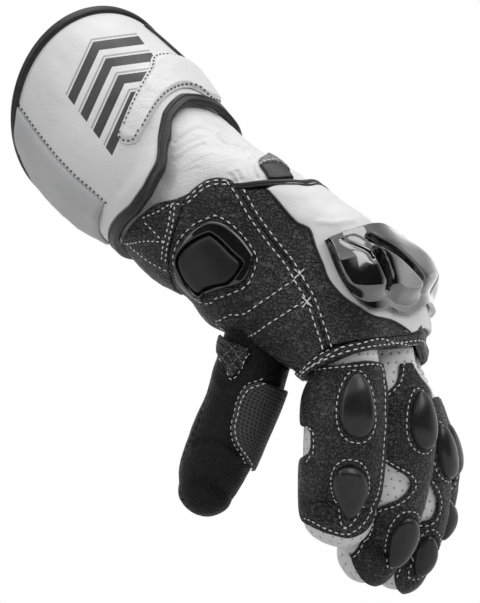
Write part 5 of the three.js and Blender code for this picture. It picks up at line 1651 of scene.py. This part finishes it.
# %% Index finger
index_right = on(index, (380, 364), (382, 381), (383, 404), (382, 435), (378, 489), (370, 514))
index_left = at((1.05, -0.22), (2.3, -0.28), (2.8, -0.28), (2.95, -0.19), (3.3, -0.18),
                (3.65, -0.19), (3.8, -0.28), (4.4, -0.28), (5.7, -0.27), (6.05, -0.25))
index_top = joined(index_left[:1], on(index, (320, 368), (344, 363), (366, 360)), index_right[:1])
index_low = joined(index_left[-1:], on(index, (307, 521), (327, 530), (344, 535), (358, 531)),
                   index_right[-1:])
index_border = joined(on(index, (312, 373), (330, 368), (350, 366), (368, 364), (377, 368)),
                      on(index, (379, 384), (380, 404), (379, 435), (375, 487), (367, 510),
                         (356, 526), (344, 531), (327, 526), (308, 517)))
index_notch = on(index, (310, 426), (315, 430), (316, 440), (315.5, 450), (310, 459))
index_folds = [(((312, 388), (324, 392), (336, 390)), 1.2, -0.35),
               (((312, 398), (326, 401), (336, 399)), 1.2, -0.35),
               (((330, 446), (348, 449), (366, 445)), 1.4, -0.5),
               (((326, 454), (348, 457), (368, 452)), 1.4, 0.35)]
finger("index", index, (index_top, index_low, index_left, index_right),
       {"knuckle_pad": ((354, 374), (356, 436), 16.6), "tip_pad": ((348, 461), (346, 519), 17.2)},
       extra=[index_border, index_notch], folds=index_folds)
print("index back faces:", made["index_back_leather"])

# %% Middle finger
middle_left = on(middle, (398, 364), (397, 376), (394, 385), (383, 398), (381, 430), (380, 455),
                 (391, 466), (404, 474), (409, 481), (407, 489), (400, 496), (391, 501),
                 (374, 509), (369, 528), (357, 550))
middle_left = joined(middle_left, at((6.45, -0.235)))
middle_right = at((0.95, 0.015), (1.3, 0.03), (1.6, 0.05), (1.85, 0.1), (2.1, 0.18),
                  *[(u, 0.2) for u in np.linspace(2.5, 6.5, 6)])
middle_top = joined(middle_left[:1], on(middle, (408, 363)), middle_right[:1])
middle_low = joined(middle_left[-1:], at((6.75, -0.17), (6.85, -0.05), (6.85, 0.05), (6.75, 0.15)),
                    middle_right[-1:])
middle_seam = beside(middle, evenly(middle, middle_left, 90), -1.6)
finger("middle", middle, (middle_top, middle_low, middle_left, middle_right),
       {"knuckle_pad": ((415, 393), (420, 448), 14.8), "tip_pad": ((412, 516), (388, 562), 14.0)},
       extra=[middle_seam], pleats=PLEATS)
print("middle back faces:", made["middle_back_leather"])

# %% [markdown]
# ### Ring and little finger
# Their backs have one shape, with a notch between the pads. The little finger is shorter, so
# its rows are squeezed together and moved on.

# %% Ring and little fingers
notch = [(2.0, -0.06), (2.2, -0.12), (2.5, -0.17), (3.4, -0.18), (3.75, -0.08), (4.15, -0.03),
         (4.6, -0.06), (4.95, -0.17), (5.9, -0.17), (6.6, -0.16)]


def notched_back(limb, squeeze=1.0, shift=0.0):
    """The edges of a finger's back and the seam along its notch."""
    fitted = lambda rows: at(*[(u * squeeze + shift, v) for u, v in rows])
    left, right = fitted(notch), fitted([(u, 0.19) for u in np.linspace(2.0, 6.6, 8)])
    rounded = fitted([(6.78, -0.1), (6.84, 0.02), (6.78, 0.12)])
    top, low = joined(left[:1], right[:1]), joined(left[-1:], rounded, right[-1:])
    return (top, low, left, right), beside(limb, evenly(limb, left, 80), -1.6)


ring_edges, ring_seam = notched_back(ring)
finger("ring", ring, ring_edges,
       {"knuckle_pad": ((435, 426), (445, 478), 13.8), "tip_pad": ((433, 534), (412, 574), 13.2)},
       extra=[ring_seam], pleats=PLEATS)
little_edges, little_seam = notched_back(little, 0.78, 0.5)
finger("little", little, little_edges,
       {"knuckle_pad": ((441, 425), (449, 475), 12.0), "tip_pad": ((445, 501), (438, 541), 11.6)},
       extra=[little_seam], pleats=PLEATS)
print("pads:", sum(name.endswith("pad_cap") for name in made))

# %% [markdown]
# ## Thumb
# The thumb is smooth black leather. Its inner side, which holds the grip, is leather pressed
# with a grid, and a gusset closes the gap between it and the palm. The thumb's seams and
# creases are folds of its skin, and two rows of thread run along the grip's edge.

# %% Thumb parts
thumb_folds = place_folds(thumb, [
    (((195, 444), (214, 441), (240, 450)), 1.5, -0.9),
    (((193, 452), (214, 449), (238, 457)), 2.2, 0.7),
    (((212, 392), (222, 400), (230, 414)), 2.0, -0.4),
    (((214, 378), (226, 392), (236, 398)), 1.8, 0.4),
    (((213, 350), (205, 400), (195, 430), (183, 455), (179, 480), (183, 500), (192, 514)),
     0.8, -0.8)])
thumb_skin = shell("thumb_leather", thumb, whole_finger, None, BLACK_SMOOTH, "thumb_upper_half",
                   step=0.9, folds=thumb_folds, lumps=0.3)
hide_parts("thumb_lower_half")
grip_left = on(thumb, (259, 381), (245, 387), (238, 400), (235, 412), (232, 426), (235, 442),
               (246, 461), (250, 467))
grip_right = at((1.1, 0.32), (1.8, 0.34), (2.6, 0.34), (3.4, 0.34), (4.1, 0.34))
thumb_grip = panel("thumb_grip_leather", thumb, between(grip_left, grip_right, thumb), GRIP,
                   "thumb_grip", low=FINGER_SEAT, top=FINGER_THICK, roll=0.9)
gusset_left = on(thumb, (217, 334), (220, 350), (226, 366), (231, 377))
gusset_right = on(thumb, (250, 349), (247, 360), (240, 370), (233, 377))
gusset = panel("thumb_gusset_leather", thumb, between(gusset_left, gusset_right, thumb), BLACK,
               "thumb_gusset", step=0.7, low=FINGER_SEAT, top=FINGER_THICK, roll=0.9)
sew("gusset_stitches", seams_on(
    thumb, ("thumb_gusset_leather",),
    [(218, 340), (228, 352), (238, 368)], [(224, 336), (234, 348), (243, 362)],
    [(222, 362), (232, 352), (243, 342)], [(228, 372), (238, 360), (248, 350)],
    [(220, 350), (228, 362), (234, 374)]), GRAY_THREAD, pitch=2.1, length=1.9, thick=0.4)
sew("thumb_stitches", seams_on(
    thumb, ("thumb_leather", "thumb_grip_leather", "thumb_gusset_leather"),
    [(261, 379), (246, 385), (237, 400), (234, 414), (231, 427), (234, 443), (245, 462)],
    [(262, 383), (249, 389), (241, 402), (238, 414), (235, 427), (238, 443), (248, 461)],
    [(218, 344), (224, 362), (231, 379), (240, 371), (249, 354)]),
    pitch=2.7, length=1.8, thick=0.5)
print("pieces of the thumb:", sorted(name for name in made if "thumb" in name))

# %% [markdown]
# ## Stage
# The glove is shown over a pale floor. A wide lamp over it and a softer one from the front and
# right light the leather, and a narrow one from the left draws edges on the gloss. The sky is
# bright behind, so that the outline is clean. In front it is dark up to well over the horizon
# and bright above that, so that the armour mirrors one dark and one bright band.

# %% Floor
FLOOR_HALF, FLOOR_Z = 0.75, -0.2
mesh = bpy.data.meshes.new("floor")
mesh.from_pydata([(x * FLOOR_HALF, y * FLOOR_HALF, FLOOR_Z)
                  for x, y in ((-1, -1), (1, -1), (1, 1), (-1, 1))], [], [(0, 1, 2, 3)])
floor = bpy.data.objects.new("floor", mesh)
bpy.context.scene.collection.objects.link(floor)
m = Shader("pale_floor", rough=0.9)
cloud = m.noise(m.place(), 3.0)
mesh.materials.append(m.finish(m.mix(cloud.steps(0.3, 0.7), rgb(0.62), rgb(0.64))))
print("the floor is", 2 * FLOOR_HALF, "m wide")

# %% Lights
LIGHTS = [
    # name, place, aims at, width, height, watts
    ("key", (0.85, -0.75, 0.95), (0.02, 0, -0.03), 0.9, 0.9, 6.0),
    ("side", (-1.0, -0.7, 0.25), (0, 0, -0.04), 0.35, 1.2, 2.4),
    ("top", (0.10, 0.10, 1.25), (0.03, 0, -0.04), 1.1, 1.1, 7.5),
]
for label, spot, target, width, height, watts in LIGHTS:
    data = bpy.data.lights.new(label, "AREA")
    data.shape, data.size, data.size_y, data.energy = "RECTANGLE", width, height, watts
    lamp = bpy.data.objects.new(label, data)
    bpy.context.scene.collection.objects.link(lamp)
    lamp.location = spot
    lamp.rotation_mode = "QUATERNION"
    lamp.rotation_quaternion = (Vector(target) - Vector(spot)).to_track_quat("-Z", "Y")
print("watts in all:", round(sum(light[-1] for light in LIGHTS), 1))

# %% [markdown]
# ### Sky
# Two ramps say how bright the sky is at each height, one for behind the glove and one for in
# front of it, and a third value blends them from front to back.

# %% Sky
world = bpy.data.worlds.new("soft_sky")
bpy.context.scene.world = world
world.use_nodes = True
sky, links = world.node_tree.nodes, world.node_tree.links
split, slope = sky.new("ShaderNodeSeparateXYZ"), sky.new("ShaderNodeMapRange")
toward, both = sky.new("ShaderNodeMapRange"), sky.new("ShaderNodeMix")
SKY = [
    # behind, then in front: how high (0 straight down, 0.5 level, 1 straight up), how bright
    [(0.0, 0.07), (0.3, 0.1), (0.47, 0.83), (0.58, 0.83), (0.66, 0.5), (0.75, 0.42), (1.0, 0.42)],
    [(0.0, 0.03), (0.42, 0.02), (0.58, 0.01), (0.70, 0.02), (0.735, 0.9), (1.0, 0.6)]]
SKY_STRENGTH = 1.2
both.data_type = "RGBA"
for number, stops in enumerate(SKY):
    tones = sky.new("ShaderNodeValToRGB")
    for place, (where, tone) in enumerate(stops):
        ramp = tones.color_ramp.elements
        stop = ramp[place] if place < 2 else ramp.new(where)
        stop.position, stop.color = where, rgb(tone)
    links.new(slope.outputs["Result"], tones.inputs[0])
    links.new(tones.outputs[0], both.inputs[7 - number])
for node, (low, high) in ((slope, (-1.0, 1.0)), (toward, (-0.1, 0.45))):
    node.inputs["From Min"].default_value, node.inputs["From Max"].default_value = low, high
links.new(sky.new("ShaderNodeTexCoord").outputs["Generated"], split.inputs[0])
links.new(split.outputs[2], slope.inputs["Value"])
links.new(split.outputs[1], toward.inputs["Value"])
links.new(toward.outputs["Result"], both.inputs[0])
links.new(both.outputs[2], sky["Background"].inputs["Color"])
sky["Background"].inputs["Strength"].default_value = SKY_STRENGTH
bpy.context.scene.view_settings.view_transform = "Standard"
print("stops of the two skies:", [len(stops) for stops in SKY])

# %% [markdown]
# ### Camera
# The camera stands far away with a long lens, so that the front view has hardly any
# perspective. Its height of view is the 603 units from which the seams were traced.

# %% Camera
DISTANCE, SENSOR = 6.0, 36
camera_data = bpy.data.cameras.new("camera")
camera_data.sensor_width = SENSOR
camera_data.lens = SENSOR * DISTANCE / (VIEW_TALL * UNIT * 0.001)
camera = bpy.data.objects.new("camera", camera_data)
bpy.context.scene.collection.objects.link(camera)
aim_x, aim_z = from_front(VIEW_WIDE / 2, VIEW_TALL / 2) * 0.001
camera.location = (aim_x, -DISTANCE, aim_z)
camera.rotation_euler = (np.pi / 2, 0, 0)
bpy.context.scene.camera = camera
print("faces in all:", sum(made.values()))
